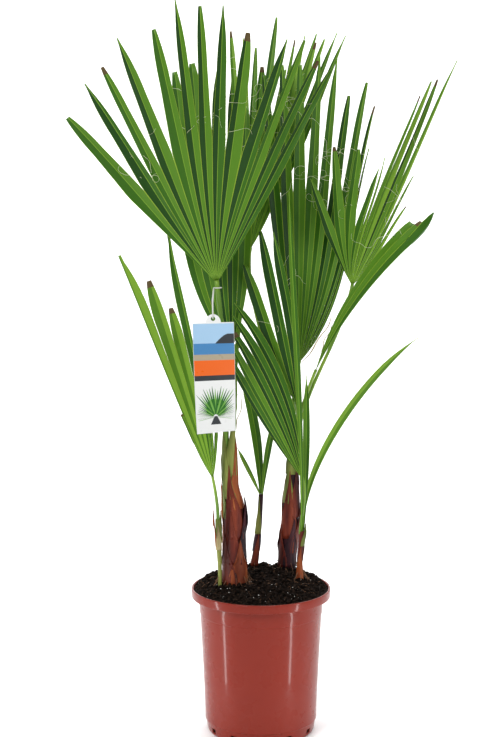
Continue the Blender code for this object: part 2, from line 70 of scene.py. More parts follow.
def place_group(tree, group, **values):
    """Put a node group in a material with its own values, and give back its first output."""
    node = tree.nodes.new("ShaderNodeGroup")
    node.node_tree = group
    for socket_name, value in values.items():
        node.inputs[socket_name].default_value = value
    return node.outputs[0]


def uneven_gloss_group():
    """Gloss that wanders between two roughnesses in patches, as on any handled surface."""
    group, inlet, outlet = new_group(
        "uneven_gloss", {"Scale": NUMBER, "Glossiest": NUMBER, "Roughest": NUMBER},
        {"Roughness": NUMBER})
    place = group.nodes.new("ShaderNodeTexCoord")
    patches = group.nodes.new("ShaderNodeTexNoise")
    patches.inputs["Detail"].default_value = 4.0
    spread = group.nodes.new("ShaderNodeMapRange")
    group.links.new(place.outputs["Object"], patches.inputs["Vector"])
    group.links.new(inlet.outputs["Scale"], patches.inputs["Scale"])
    group.links.new(patches.outputs["Fac"], spread.inputs["Value"])
    group.links.new(inlet.outputs["Glossiest"], spread.inputs["To Min"])
    group.links.new(inlet.outputs["Roughest"], spread.inputs["To Max"])
    group.links.new(spread.outputs["Result"], outlet.inputs["Roughness"])
    return group


UNEVEN_GLOSS = uneven_gloss_group()


def spread_gloss(tree, shader, scale, glossiest, roughest):
    """Place the uneven gloss and lead it to the shader."""
    gloss = place_group(tree, UNEVEN_GLOSS, Scale=scale, Glossiest=glossiest, Roughest=roughest)
    tree.links.new(gloss, shader.inputs["Roughness"])


def add_panel_light(name, place, aim, width, height, watts):
    """A flat rectangular light that faces its aim."""
    light = bpy.data.lights.new(name, "AREA")
    light.shape = "RECTANGLE"
    light.size = width
    light.size_y = height
    light.energy = watts
    lamp = bpy.data.objects.new(name, light)
    lamp.location = place
    lamp.rotation_euler = (Vector(aim) - Vector(place)).to_track_quat("-Z", "Y").to_euler()
    bpy.context.scene.collection.objects.link(lamp)


FLOOR_REACH = 6.0
COVE_RADIUS = 1.2
COVE_STEPS = 12
WALL_BACK = 3.0
WALL_TOP = 5.0
AIR_STRENGTH = 0.42

# Each panel of light: name, place, aim, width, height, watts
PANELS = (
    ("key_panel", (-1.6, -2.2, 2.3), (0.0, 0.0, 0.6), 1.0, 1.0, 50.0),
    ("fill_panel", (2.2, -1.6, 1.5), (0.0, 0.0, 0.5), 1.2, 1.2, 13.0),
    ("top_panel", (0.2, 0.5, 3.0), (0.0, 0.0, 0.8), 1.4, 1.4, 30.0),
    ("wall_panel", (0.0, 1.0, 2.8), (0.0, 3.0, 1.0), 3.5, 1.2, 120.0),
    ("left_strip", (-0.248, -0.122, 0.125), (-0.055, -0.071, 0.125), 0.018, 0.24, 0.22),
    ("right_strip", (0.216, -0.181, 0.125), (0.044, -0.078, 0.125), 0.018, 0.24, 0.22),
)

sweep = [(-FLOOR_REACH, 0.0), (WALL_BACK - COVE_RADIUS, 0.0)]
for step in range(1, COVE_STEPS + 1):
    turn = math.pi / 2.0 * step / COVE_STEPS
    sweep.append((WALL_BACK - COVE_RADIUS + COVE_RADIUS * math.sin(turn),
                  COVE_RADIUS * (1.0 - math.cos(turn))))
sweep.append((WALL_BACK, WALL_TOP))
backdrop_mesh = bpy.data.meshes.new("backdrop")
backdrop_mesh.from_pydata(
    [(x, y, z) for y, z in sweep for x in (-FLOOR_REACH, FLOOR_REACH)], [],
    [(2 * n, 2 * n + 1, 2 * n + 3, 2 * n + 2) for n in range(len(sweep) - 1)])
for face in backdrop_mesh.polygons:
    face.use_smooth = True
backdrop = bpy.data.objects.new("backdrop", backdrop_mesh)
bpy.context.scene.collection.objects.link(backdrop)
paper, paper_tree, paper_shader = finish_nodes("backdrop_paper", (0.90, 0.90, 0.90), 0.9)
spread_gloss(paper_tree, paper_shader, 6.0, 0.85, 0.95)
backdrop_mesh.materials.append(paper)

# The plain view keeps the paper white and the greens as clear as in the photograph.
bpy.context.scene.view_settings.view_transform = "Standard"

for panel in PANELS:
    add_panel_light(*panel)
for strip in ("left_strip", "right_strip"):
    bpy.data.objects[strip].visible_camera = False

room = bpy.data.worlds.new("studio_air")
bpy.context.scene.world = room
room.use_nodes = True
room.node_tree.nodes["Background"].inputs["Color"].default_value = (1.0, 1.0, 1.0, 1.0)
room.node_tree.nodes["Background"].inputs["Strength"].default_value = AIR_STRENGTH


# The camera: at the photograph's angle, a little above the plant's middle and looking down.
# The picture is upright, so that its height spans the sensor. Place, pitch and focal length
# were fitted to the pot and the plant in the photograph, the focal length in its pixels.

PICTURE_HEIGHT = 737
CAMERA_PLACE = (-0.0196, -2.2, 0.828)
CAMERA_PITCH = 7.14
FOCAL_PIXELS = 1493.0
SENSOR_WIDTH = 36.0

lens = bpy.data.cameras.new("camera")
lens.sensor_width = SENSOR_WIDTH
lens.lens = FOCAL_PIXELS * SENSOR_WIDTH / PICTURE_HEIGHT
camera = bpy.data.objects.new("camera", lens)
camera.location = CAMERA_PLACE
camera.rotation_euler = (math.radians(90.0 - CAMERA_PITCH), 0.0, 0.0)
bpy.context.scene.collection.objects.link(camera)
bpy.context.scene.camera = camera


# The pot: thin injection-moulded plastic, terracotta red and glossy.
# It is turned from one closed profile: a rim band, a collar step and a stepped heel.
# The twelve drain notches are cut through the heel, and the dark soil shows in them.

POT_HEIGHT = 0.220
POT_RIM_RADIUS = 0.105
POT_RIM_BAND = 0.013
POT_LIP = 0.003
POT_WALL = 0.0015
POT_NECK_RADIUS = 0.0940
POT_COLLAR = POT_HEIGHT - POT_RIM_BAND - 0.025
POT_COLLAR_STEP = 0.0009
POT_HEEL_RADIUS = 0.0845
POT_HEEL_HEIGHT = 0.0180
POT_FOOT_RADIUS = 0.0795
POT_FLOOR = 0.0018
POT_SIDES = 160
RIM_ROUND = 0.0012
BAND_ROUND = 0.0010
NECK_ROUND = 0.0012
LIP_ROUND = 0.0010
COLLAR_EASE = 0.0012
HEEL_STEP = 0.0012
WALL_HEIGHTS = (0.150, 0.110, 0.070, 0.040)
SHARP_ANGLE = 32.0
DRAIN_COUNT = 12
DRAIN_WIDTH = 0.010
DRAIN_HEIGHT = 0.007
DRAIN_DEPTH = 0.016
DRAIN_LIFT = 0.0030
DRAIN_RING = POT_HEEL_RADIUS + 0.001


def wall_radius(height):
    """Outer radius of the wall, which tapers from the neck to the heel."""
    top = POT_HEIGHT - POT_RIM_BAND
    share = (height - POT_HEEL_HEIGHT) / (top - POT_HEEL_HEIGHT)
    radius = POT_HEEL_RADIUS + (POT_NECK_RADIUS - POT_HEEL_RADIUS) * share
    return radius if height > POT_COLLAR else radius - POT_COLLAR_STEP * min(1.0, share * 4.0)


def arc(middle, radius, start, end, steps):
    """Points of (radius, height) on a quarter round, between two angles in degrees."""
    turns = [math.radians(start + (end - start) * n / steps) for n in range(steps + 1)]
    return [(middle[0] + radius * math.cos(t), middle[1] + radius * math.sin(t)) for t in turns]


band_foot = POT_HEIGHT - POT_RIM_BAND
neck = wall_radius(band_foot)
heel = wall_radius(POT_HEEL_HEIGHT)
pot_outer = arc((POT_RIM_RADIUS - RIM_ROUND, POT_HEIGHT - RIM_ROUND), RIM_ROUND, 90.0, 0.0, 4)
pot_outer += arc((POT_RIM_RADIUS - RIM_ROUND, band_foot + BAND_ROUND), BAND_ROUND, 0.0, -90.0, 4)
pot_outer += [(neck + NECK_ROUND, band_foot)]
pot_outer += arc((neck + NECK_ROUND, band_foot - NECK_ROUND), NECK_ROUND, 90.0, 180.0, 3)
pot_outer += [(wall_radius(h), h) for h in (POT_COLLAR + 0.012, POT_COLLAR + COLLAR_EASE)]
pot_outer += [(wall_radius(POT_COLLAR + 0.001) - 0.0001, POT_COLLAR + 0.0005)]
pot_outer += [(wall_radius(h), h) for h in (POT_COLLAR - 0.0004, *WALL_HEIGHTS)]
pot_outer += [(heel + 0.0002, POT_HEEL_HEIGHT + HEEL_STEP), (heel - HEEL_STEP, POT_HEEL_HEIGHT)]
pot_outer += [(heel - 0.0016, POT_HEEL_HEIGHT - 0.0014)]
pot_outer += [(POT_FOOT_RADIUS + 0.0018, 0.0040), (POT_FOOT_RADIUS + 0.0004, 0.0010)]
pot_outer += [(POT_FOOT_RADIUS - 0.0010, 0.0), (0.0, 0.0)]
pot_inner = arc((POT_RIM_RADIUS - POT_LIP + LIP_ROUND, POT_HEIGHT - LIP_ROUND),
                LIP_ROUND, 90.0, 180.0, 3)
pot_inner += [(POT_RIM_RADIUS - POT_LIP - 0.0006, POT_HEIGHT - 0.0040)]
pot_inner += [(neck - POT_WALL, band_foot - 0.0060)]
pot_inner += [(heel - POT_WALL - 0.0010, POT_HEEL_HEIGHT)]
pot_inner += [(POT_FOOT_RADIUS - POT_WALL, POT_FLOOR), (0.0, POT_FLOOR)]


def finish_mesh(name, shape):
    """Turn a worked shape into a mesh."""
    mesh = bpy.data.meshes.new(name)
    shape.to_mesh(mesh)
    shape.free()
    return mesh


def turned_mesh(name, profile, sides):
    """Turn a profile of (radius, height) about Z. It is closed where it starts off the axis."""
    shape = bmesh.new()
    ring_of = []
    for radius, height in profile:
        if radius == 0.0:
            ring_of.append([shape.verts.new((0.0, 0.0, height))])
            continue
        ring_of.append([
            shape.verts.new((radius * math.cos(math.tau * n / sides),
                             radius * math.sin(math.tau * n / sides), height))
            for n in range(sides)])
    pairs = list(zip(ring_of, ring_of[1:]))
    if profile[0][0] > 0.0:
        pairs.append((ring_of[-1], ring_of[0]))
    for upper, lower in pairs:
        if len(upper) == len(lower) == 1:
            continue
        for n in range(sides):
            corners = [upper[n % len(upper)], lower[n % len(lower)],
                       lower[(n + 1) % len(lower)], upper[(n + 1) % len(upper)]]
            shape.faces.new(list(dict.fromkeys(corners)))
    bmesh.ops.recalc_face_normals(shape, faces=shape.faces)
    return finish_mesh(name, shape)


def add_piece(name, mesh, materials, replaced, smooth=True):
    """Put a mesh in the scene as a piece of the plant that stands for the named solids."""
    piece = bpy.data.objects.new(name, mesh)
    bpy.context.scene.collection.objects.link(piece)
    for material in materials:
        mesh.materials.append(material)
    for face in mesh.polygons:
        face.use_smooth = smooth
    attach(piece, "root")
    if replaced:
        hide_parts(*replaced)
    return piece


def cut_out(piece, boxes):
    """Cut boxes of (place, size, turn about Z) out of the piece."""
    shape = bmesh.new()
    for place, size, turn in boxes:
        made = bmesh.ops.create_cube(shape, size=1.0)["verts"]
        bmesh.ops.scale(shape, verts=made, vec=size)
        for vertex in made:
            x, y, z = vertex.co
            vertex.co = (place[0] + x * math.cos(turn) - y * math.sin(turn),
                         place[1] + x * math.sin(turn) + y * math.cos(turn), place[2] + z)
    cutter = bpy.data.objects.new("boxes", finish_mesh("boxes", shape))
    bpy.context.scene.collection.objects.link(cutter)
    modifier = piece.modifiers.new("cut", "BOOLEAN")
    modifier.operation = "DIFFERENCE"
    modifier.solver = "EXACT"
    modifier.object = cutter
    bpy.context.view_layer.update()
    view = piece.evaluated_get(bpy.context.evaluated_depsgraph_get())
    cut_mesh = bpy.data.meshes.new_from_object(view)
    piece.modifiers.remove(modifier)
    piece.data = cut_mesh
    bpy.data.objects.remove(cutter, do_unlink=True)


def grain_group():
    """Grain fixed to the object: noise that the stretch draws out along the axes."""
    group, inlet, outlet = new_group(
        "grain", {"Scale": NUMBER, "Detail": NUMBER, "Stretch": VECTOR}, {"Height": NUMBER})
    place = group.nodes.new("ShaderNodeTexCoord")
    mapping = group.nodes.new("ShaderNodeMapping")
    cloud = group.nodes.new("ShaderNodeTexNoise")
    group.links.new(place.outputs["Object"], mapping.inputs["Vector"])
    group.links.new(inlet.outputs["Stretch"], mapping.inputs["Scale"])
    group.links.new(mapping.outputs["Vector"], cloud.inputs["Vector"])
    group.links.new(inlet.outputs["Scale"], cloud.inputs["Scale"])
    group.links.new(inlet.outputs["Detail"], cloud.inputs["Detail"])
    group.links.new(cloud.outputs["Fac"], outlet.inputs["Height"])
    return group


GRAIN = grain_group()
NO_STRETCH = (1.0, 1.0, 1.0)


def mix_colours(tree, height, shader, stops):
    """A ramp of colours along a height or mask, into the base colour."""
    ramp = tree.nodes.new("ShaderNodeValToRGB")
    while len(ramp.color_ramp.elements) < len(stops):
        ramp.color_ramp.elements.new(0.5)
    for element, (place, colour) in zip(ramp.color_ramp.elements, stops):
        element.position = place
        element.color = (*colour, 1.0)
    tree.links.new(height, ramp.inputs["Fac"])
    tree.links.new(ramp.outputs["Color"], shader.inputs["Base Color"])


plastic, plastic_tree, plastic_shader = finish_nodes("pot_plastic", (0.17, 0.018, 0.010), 0.24)
plastic_cloud = place_group(plastic_tree, GRAIN, Scale=3.0, Detail=3.0, Stretch=(1.0, 1.0, 0.4))
mix_colours(plastic_tree, plastic_cloud, plastic_shader,
            ((0.3, (0.178, 0.0165, 0.0085)), (0.7, (0.228, 0.0235, 0.0125))))
spread_gloss(plastic_tree, plastic_shader, 40.0, 0.22, 0.34)
plastic_shader.inputs["Specular IOR Level"].default_value = 0.10
plastic_shader.inputs["Coat Weight"].default_value = 0.24
plastic_shader.inputs["Coat Roughness"].default_value = 0.07

pot = add_piece("nursery_pot", turned_mesh("nursery_pot", pot_outer + pot_inner[::-1], POT_SIDES),
                [plastic], ["pot"])
drains = []
for n in range(DRAIN_COUNT):
    turn = math.tau * n / DRAIN_COUNT
    place = (DRAIN_RING * math.cos(turn), DRAIN_RING * math.sin(turn),
             POT_FLOOR + DRAIN_LIFT + DRAIN_HEIGHT / 2.0)
    drains.append((place, (DRAIN_DEPTH, DRAIN_WIDTH, DRAIN_HEIGHT), turn))
cut_out(pot, drains)
for face in pot.data.polygons:
    face.use_smooth = True
pot.data.set_sharp_from_angle(angle=math.radians(SHARP_ANGLE))


# The soil: dark crumbly peat and bark, heaped towards the back.
# The heap is one closed mound with a rough top. Crumbs, white perlite grains and
# brown root fibres lie on it, each kind joined into one piece.

SOIL_EDGE_DROP = 0.0016
SOIL_HEAP = 0.0150
SOIL_HEAP_POWER = 5.0
SOIL_BACK_SLOPE = 5.0
SOIL_ROUGH = 0.0052
LUMP_SCALE = 95.0
LUMP_SLICE = 0.4
LUMP_FRACTAL = (0.9, 2.1, 4)
SOIL_RINGS = 60
SOIL_SIDES = 180
CRUMB_COUNT = 3200
CRUMB_SIZES = (0.0008, 0.0038)
PERLITE_COUNT = 260
PERLITE_SIZES = (0.0005, 0.0011)
GRAIN_FLATNESS = 0.8
FIBRE_COUNT = 70
FIBRE_LENGTHS = (0.006, 0.020)
FIBRE_RADII = (0.00025, 0.0005)
FIBRE_TAPER = 0.6
SOIL_EDGE = POT_RIM_RADIUS - POT_LIP - 0.0012
SOIL_GAP = 0.0004


def soil_height(x, y):
    """Height of the soil's even surface: level at the rim and heaped towards the back."""
    share = min(1.0, math.hypot(x, y) / SOIL_EDGE)
    heap = SOIL_HEAP * (1.0 - share**SOIL_HEAP_POWER) * (1.0 + SOIL_BACK_SLOPE * y)
    return POT_HEIGHT - SOIL_EDGE_DROP + heap


def rough_height(x, y):
    """The heaped surface with its lumps."""
    share = min(1.0, math.hypot(x, y) / SOIL_EDGE)
    lump = noise.fractal(Vector((x, y, LUMP_SLICE)) * LUMP_SCALE, *LUMP_FRACTAL)
    return soil_height(x, y) + SOIL_ROUGH * lump * (1.0 - share**8)


def scatter_meshes(name, count, seed, make):
    """One mesh of many small things: make(shape, draw, place) adds each at a spot."""
    draw = random.Random(seed)
    shape = bmesh.new()
    for _ in range(count):
        reach = (SOIL_EDGE - 0.004) * math.sqrt(draw.random())
        turn = draw.uniform(0.0, math.tau)
        x, y = reach * math.cos(turn), reach * math.sin(turn)
        make(shape, draw, Vector((x, y, rough_height(x, y))))
    return finish_mesh(name, shape)


def add_grain(shape, draw, place, sizes):
    """A small knobbly grain, a little sunk."""
    size = draw.uniform(*sizes) * draw.uniform(0.6, 1.0)
    made = bmesh.ops.create_icosphere(shape, subdivisions=1, radius=size)["verts"]
    squash = Vector((draw.uniform(0.7, 1.3), draw.uniform(0.7, 1.3), GRAIN_FLATNESS))
    for vertex in made:
        knob = draw.uniform(0.75, 1.25)
        vertex.co = place + Vector((vertex.co.x * squash.x, vertex.co.y * squash.y,
                                    vertex.co.z * squash.z)) * knob
        vertex.co.z += size * 0.2


def add_ring(shape, middle, side, other, radius, sides):
    """A ring of corners round a middle, across the line of a strand or tube."""
    ring = []
    for n in range(sides):
        turn = math.tau * n / sides
        ring.append(shape.verts.new(middle + (side * math.cos(turn) + other * math.sin(turn)) * radius))
    return ring


def skin_rings(shape, rings, closed=False):
    """Join rings of corners into a tube, with flat ends or closed on itself."""
    pairs = list(zip(rings, rings[1:])) + ([(rings[-1], rings[0])] if closed else [])
    for low, high in pairs:
        count = len(low)
        for n in range(count):
            shape.faces.new((low[n], low[(n + 1) % count], high[(n + 1) % count], high[n]))
    if not closed:
        shape.faces.new(rings[0][::-1])
        shape.faces.new(rings[-1])


def add_fibre(shape, points, radius):
    """A thin three-sided strand along points, tapering to its end."""
    rings = []
    for index, place in enumerate(points):
        ahead = points[min(index + 1, len(points) - 1)]
        behind = points[max(index - 1, 0)]
        along = (ahead - behind).normalized()
        side = along.orthogonal().normalized()
        thin = radius * (1.0 - FIBRE_TAPER * index / (len(points) - 1))
        rings.append(add_ring(shape, place, side, along.cross(side), thin, 3))
    skin_rings(shape, rings)


def add_bump(tree, shader, height, strength, distance):
    """Fine relief on the surface from a height."""
    bump = tree.nodes.new("ShaderNodeBump")
    bump.inputs["Strength"].default_value = strength
    bump.inputs["Distance"].default_value = distance
    tree.links.new(height, bump.inputs["Height"])
    tree.links.new(bump.outputs["Normal"], shader.inputs["Normal"])


peat, peat_tree, peat_shader = finish_nodes("peat", (0.02, 0.013, 0.009), 0.95)
peat_tones = place_group(peat_tree, GRAIN, Scale=260.0, Detail=6.0, Stretch=NO_STRETCH)
mix_colours(peat_tree, peat_tones, peat_shader,
            ((0.40, (0.0025, 0.0015, 0.001)), (0.60, (0.014, 0.0085, 0.006)),
             (0.78, (0.075, 0.042, 0.024))))
peat_relief = place_group(peat_tree, GRAIN, Scale=420.0, Detail=6.0, Stretch=NO_STRETCH)
add_bump(peat_tree, peat_shader, peat_relief, 0.9, 0.0015)
spread_gloss(peat_tree, peat_shader, 120.0, 0.80, 1.0)
peat_shader.inputs["Specular IOR Level"].default_value = 0.06

soil_floor = POT_FLOOR + 0.0003
soil_profile = [(SOIL_EDGE * ring / SOIL_RINGS, POT_HEIGHT) for ring in range(SOIL_RINGS + 1)]
soil_profile += [(POT_RIM_RADIUS - POT_LIP - 0.0009, POT_HEIGHT - 0.0045)]
soil_profile += [(neck - POT_WALL - SOIL_GAP, band_foot - 0.0062)]
soil_profile += [(heel - POT_WALL - 0.0010 - SOIL_GAP, POT_HEEL_HEIGHT)]
soil_profile += [(POT_FOOT_RADIUS - POT_WALL - SOIL_GAP, soil_floor), (0.0, soil_floor)]
soil_mesh = turned_mesh("soil_mound", soil_profile, SOIL_SIDES)
for vertex in soil_mesh.vertices:
    if vertex.co.z > POT_HEIGHT - 0.0001:
        vertex.co.z = rough_height(vertex.co.x, vertex.co.y)
add_piece("soil_mound", soil_mesh, [peat], ["soil"])



def add_crumb(shape, draw, place):
    """A crumb of peat or bark."""
    add_grain(shape, draw, place, CRUMB_SIZES)


def add_perlite(shape, draw, place):
    """A small white grain of perlite."""
    add_grain(shape, draw, place, PERLITE_SIZES)


add_piece("soil_crumbs", scatter_meshes("soil_crumbs", CRUMB_COUNT, 3, add_crumb),
          [peat], [], False)

perlite, perlite_tree, perlite_shader = finish_nodes("perlite", (0.62, 0.60, 0.56), 0.85)
spread_gloss(perlite_tree, perlite_shader, 300.0, 0.75, 0.95)
add_piece("soil_perlite", scatter_meshes("soil_perlite", PERLITE_COUNT, 5, add_perlite),
          [perlite], [], False)


def add_soil_fibre(shape, draw, place):
    """A bowed fibre that lies on the soil and is left out where it would meet the pot."""
    turn = draw.uniform(0.0, math.tau)
    length = draw.uniform(*FIBRE_LENGTHS)
    bow = draw.uniform(-0.5, 0.5)
    points = []
    for step in range(5):
        share = step / 4.0
        x = place.x + length * share * math.cos(turn + bow * share)
        y = place.y + length * share * math.sin(turn + bow * share)
        if math.hypot(x, y) > SOIL_EDGE - 0.003:
            break
        lift = 0.0008 + 0.0012 * math.sin(math.pi * share)
        points.append(Vector((x, y, rough_height(x, y) + lift)))
    if len(points) > 2:
        add_fibre(shape, points, draw.uniform(*FIBRE_RADII))


straw, straw_tree, straw_shader = finish_nodes("root_fibre", (0.16, 0.075, 0.035), 0.8)
spread_gloss(straw_tree, straw_shader, 200.0, 0.7, 0.9)
add_piece("soil_fibres", scatter_meshes("soil_fibres", FIBRE_COUNT, 9, add_soil_fibre),
          [straw], [], False)


# The stems: each is a column of close leaf sheaths, dry and fibrous.
# A rough core takes the stem's taper and lean. Old sheaths wrap round it as thin pointed
# shells that overlap like scales, orange-brown to purple, and thin roots show at the foot.

ORANGE, RED, PURPLE, STRAW, OLIVE = range(5)
STEM_SINK = 0.004
CORE_ROWS = 48
CORE_SIDES = 28
CORE_SHARE = 0.93
RIDGE_SCALE = 3.5
RIDGE_LENGTHWISE = 9.0
RIDGE_DEPTH = 0.09
RIDGE_SHIFT = 3.7
SHEATH_ROWS = 14
SHEATH_COLUMNS = 12
SHEATH_THICKNESS = 0.0006
SHEATH_CLEARANCE = 0.0006
SHOULDER_DROP = 0.45
SHOULDER_POWER = 1.5
POINT_NARROWING = 0.75
POINT_POWER = 2.2
CREASE_DEPTH = 0.0004
CREASES = 24.0


@dataclass
class Stem:
    """A stem of close leaf sheaths: its line from the ground up, its radius at each point, and
    its core's tone. A height of None is the soil's, less the depth the stem is sunk."""

    name: str
    line: tuple
    radii: tuple
    tone: int


# Lines and radii follow the stems' edges in the photograph, through its camera.
STEMS = (
    Stem(
        "stem_left",
        ((-0.0395, -0.015, None), (-0.0395, -0.015, 0.244), (-0.0397, -0.015, 0.260),
         (-0.0405, -0.015, 0.308), (-0.0412, -0.014, 0.348), (-0.0458, -0.013, 0.380),
         (-0.0470, -0.012, 0.418), (-0.0470, -0.012, 0.426)),
        (0.0200, 0.0182, 0.0178, 0.0162, 0.0146, 0.0112, 0.0113, 0.0113),
        RED,
    ),
    Stem(
        "stem_right",
        ((0.0408, 0.050, None), (0.0408, 0.050, 0.248), (0.0420, 0.050, 0.270),
         (0.0462, 0.049, 0.310), (0.0462, 0.048, 0.335), (0.0480, 0.046, 0.376),
         (0.0480, 0.045, 0.413)),
        (0.0155, 0.0134, 0.0138, 0.0136, 0.0130, 0.0095, 0.0092),
        PURPLE,
    ),
    Stem(
        "stem_middle_seedling",
        ((-0.0096, 0.052, None), (-0.0096, 0.052, 0.244), (-0.0057, 0.0515, 0.276),
         (-0.0027, 0.051, 0.300), (-0.0012, 0.050, 0.325), (0.0002, 0.049, 0.352)),
        (0.0058, 0.0053, 0.0053, 0.0046, 0.0042, 0.0040),
        PURPLE,
    ),
    Stem(
        "stem_left_seedling",
        ((-0.0615, -0.029, None), (-0.0615, -0.029, 0.238), (-0.0618, -0.030, 0.262),
         (-0.0633, -0.033, 0.300), (-0.0640, -0.034, 0.326), (-0.0640, -0.034, 0.332)),
        (0.0032, 0.0029, 0.0032, 0.0048, 0.0046, 0.0044),
        OLIVE,
    ),
    Stem(
        "stem_right_seedling",
        ((0.0585, -0.004, None), (0.0585, -0.004, 0.244), (0.0582, -0.005, 0.266),
         (0.0605, -0.007, 0.290), (0.0612, -0.008, 0.302), (0.0612, -0.008, 0.308)),
        (0.0052, 0.0046, 0.0046, 0.0048, 0.0056, 0.0058),
        RED,
    ),
)


def stem_spot(stem, height):
    """Middle and radius of the stem at a height."""
    line = [Vector((x, y, soil_height(x, y) - STEM_SINK if z is None else z))
            for x, y, z in stem.line]
    if height <= line[0].z:
        return line[0].xy, stem.radii[0]
    for low, high, r_low, r_high in zip(line, line[1:], stem.radii, stem.radii[1:]):
        if height <= high.z:
            share = (height - low.z) / (high.z - low.z)
            return low.lerp(high, share).xy, r_low + (r_high - r_low) * share
    return line[-1].xy, stem.radii[-1]


def stem_core(stem, seed):
    """The stem's closed column, ridged lengthwise."""
    bottom = soil_height(*stem.line[0][:2]) - STEM_SINK
    top = stem.line[-1][2]
    shape = bmesh.new()
    rings = []
    for row in range(CORE_ROWS + 1):
        height = bottom + (top - bottom) * row / CORE_ROWS
        middle, radius = stem_spot(stem, height)
        ring = []
        for n in range(CORE_SIDES):
            turn = math.tau * n / CORE_SIDES
            ridge = noise.noise(Vector((math.cos(turn) * RIDGE_SCALE, math.sin(turn) * RIDGE_SCALE,
                                        height * RIDGE_LENGTHWISE + seed)))
            reach = radius * (CORE_SHARE + RIDGE_DEPTH * ridge)
            ring.append(shape.verts.new((middle.x + reach * math.cos(turn),
                                         middle.y + reach * math.sin(turn), height)))
        rings.append(ring)
    skin_rings(shape, rings)
    return finish_mesh(stem.name, shape)


def add_sheath(shape, stem, facing, low, high, wrap, lift, tone):
    """One old sheath: a thin pointed shell round part of the stem, a little open at its top."""
    rows, columns = SHEATH_ROWS, SHEATH_COLUMNS
    grids = []
    for inside in (0.0, SHEATH_THICKNESS):
        grid = []
        for row in range(rows + 1):
            share = row / rows
            line = []
            for column in range(columns + 1):
                side = 2.0 * column / columns - 1.0
                tall = (high - low) * (1.0 - SHOULDER_DROP * abs(side)**SHOULDER_POWER)
                height = low + tall * share
                middle, radius = stem_spot(stem, height)
                narrowed = wrap * (1.0 - POINT_NARROWING * share**POINT_POWER)
                turn = math.radians(facing + side * narrowed)
                crease = CREASE_DEPTH * math.sin(side * CREASES)
                reach = radius * 1.01 + SHEATH_CLEARANCE + lift * share**3 + crease - inside
                line.append(shape.verts.new((middle.x + reach * math.cos(turn),
                                             middle.y + reach * math.sin(turn), height)))
            grid.append(line)
        grids.append(grid)
    outer, inner = grids
    corners = []
    for row in range(rows):
        for column in range(columns):
            corners.append((outer[row][column], outer[row][column + 1],
                            outer[row + 1][column + 1], outer[row + 1][column]))
            corners.append((inner[row][column + 1], inner[row][column],
                            inner[row + 1][column], inner[row + 1][column + 1]))
    for row in range(rows):
        corners.append((outer[row][0], outer[row + 1][0], inner[row + 1][0], inner[row][0]))
        corners.append((inner[row][columns], inner[row + 1][columns],
                        outer[row + 1][columns], outer[row][columns]))
    for column in range(columns):
        corners.append((outer[0][column], inner[0][column],
                        inner[0][column + 1], outer[0][column + 1]))
        corners.append((outer[rows][column], outer[rows][column + 1],
                        inner[rows][column + 1], inner[rows][column]))
    for four in corners:
        shape.faces.new(four).material_index = tone


def sheath_material(name, dark, main, light):
    """Dry sheath: lengthwise fibres in three close tones."""
    material, tree, shader = finish_nodes(name, main, 0.6)
    tones = place_group(tree, GRAIN, Scale=70.0, Detail=6.0, Stretch=(1.0, 1.0, 0.14))
    mix_colours(tree, tones, shader, ((0.32, dark), (0.50, main), (0.72, light)))
    fibres = place_group(tree, GRAIN, Scale=260.0, Detail=5.0, Stretch=(1.0, 1.0, 0.05))
    add_bump(tree, shader, fibres, 0.7, 0.0012)
    spread_gloss(tree, shader, 60.0, 0.38, 0.62)
    shader.inputs["Specular IOR Level"].default_value = 0.25
    return material


SHEATHS = (
    sheath_material("sheath_orange", (0.10, 0.014, 0.003), (0.24, 0.048, 0.010), (0.42, 0.14, 0.04)),
    sheath_material("sheath_red", (0.022, 0.003, 0.002), (0.100, 0.011, 0.005), (0.25, 0.045, 0.018)),
    sheath_material("sheath_purple", (0.003, 0.001, 0.003), (0.016, 0.003, 0.007),
                    (0.070, 0.014, 0.020)),
    sheath_material("sheath_straw", (0.17, 0.12, 0.05), (0.36, 0.29, 0.14), (0.55, 0.47, 0.27)),
    sheath_material("sheath_olive", (0.06, 0.08, 0.012), (0.14, 0.17, 0.03), (0.28, 0.30, 0.07)),
)

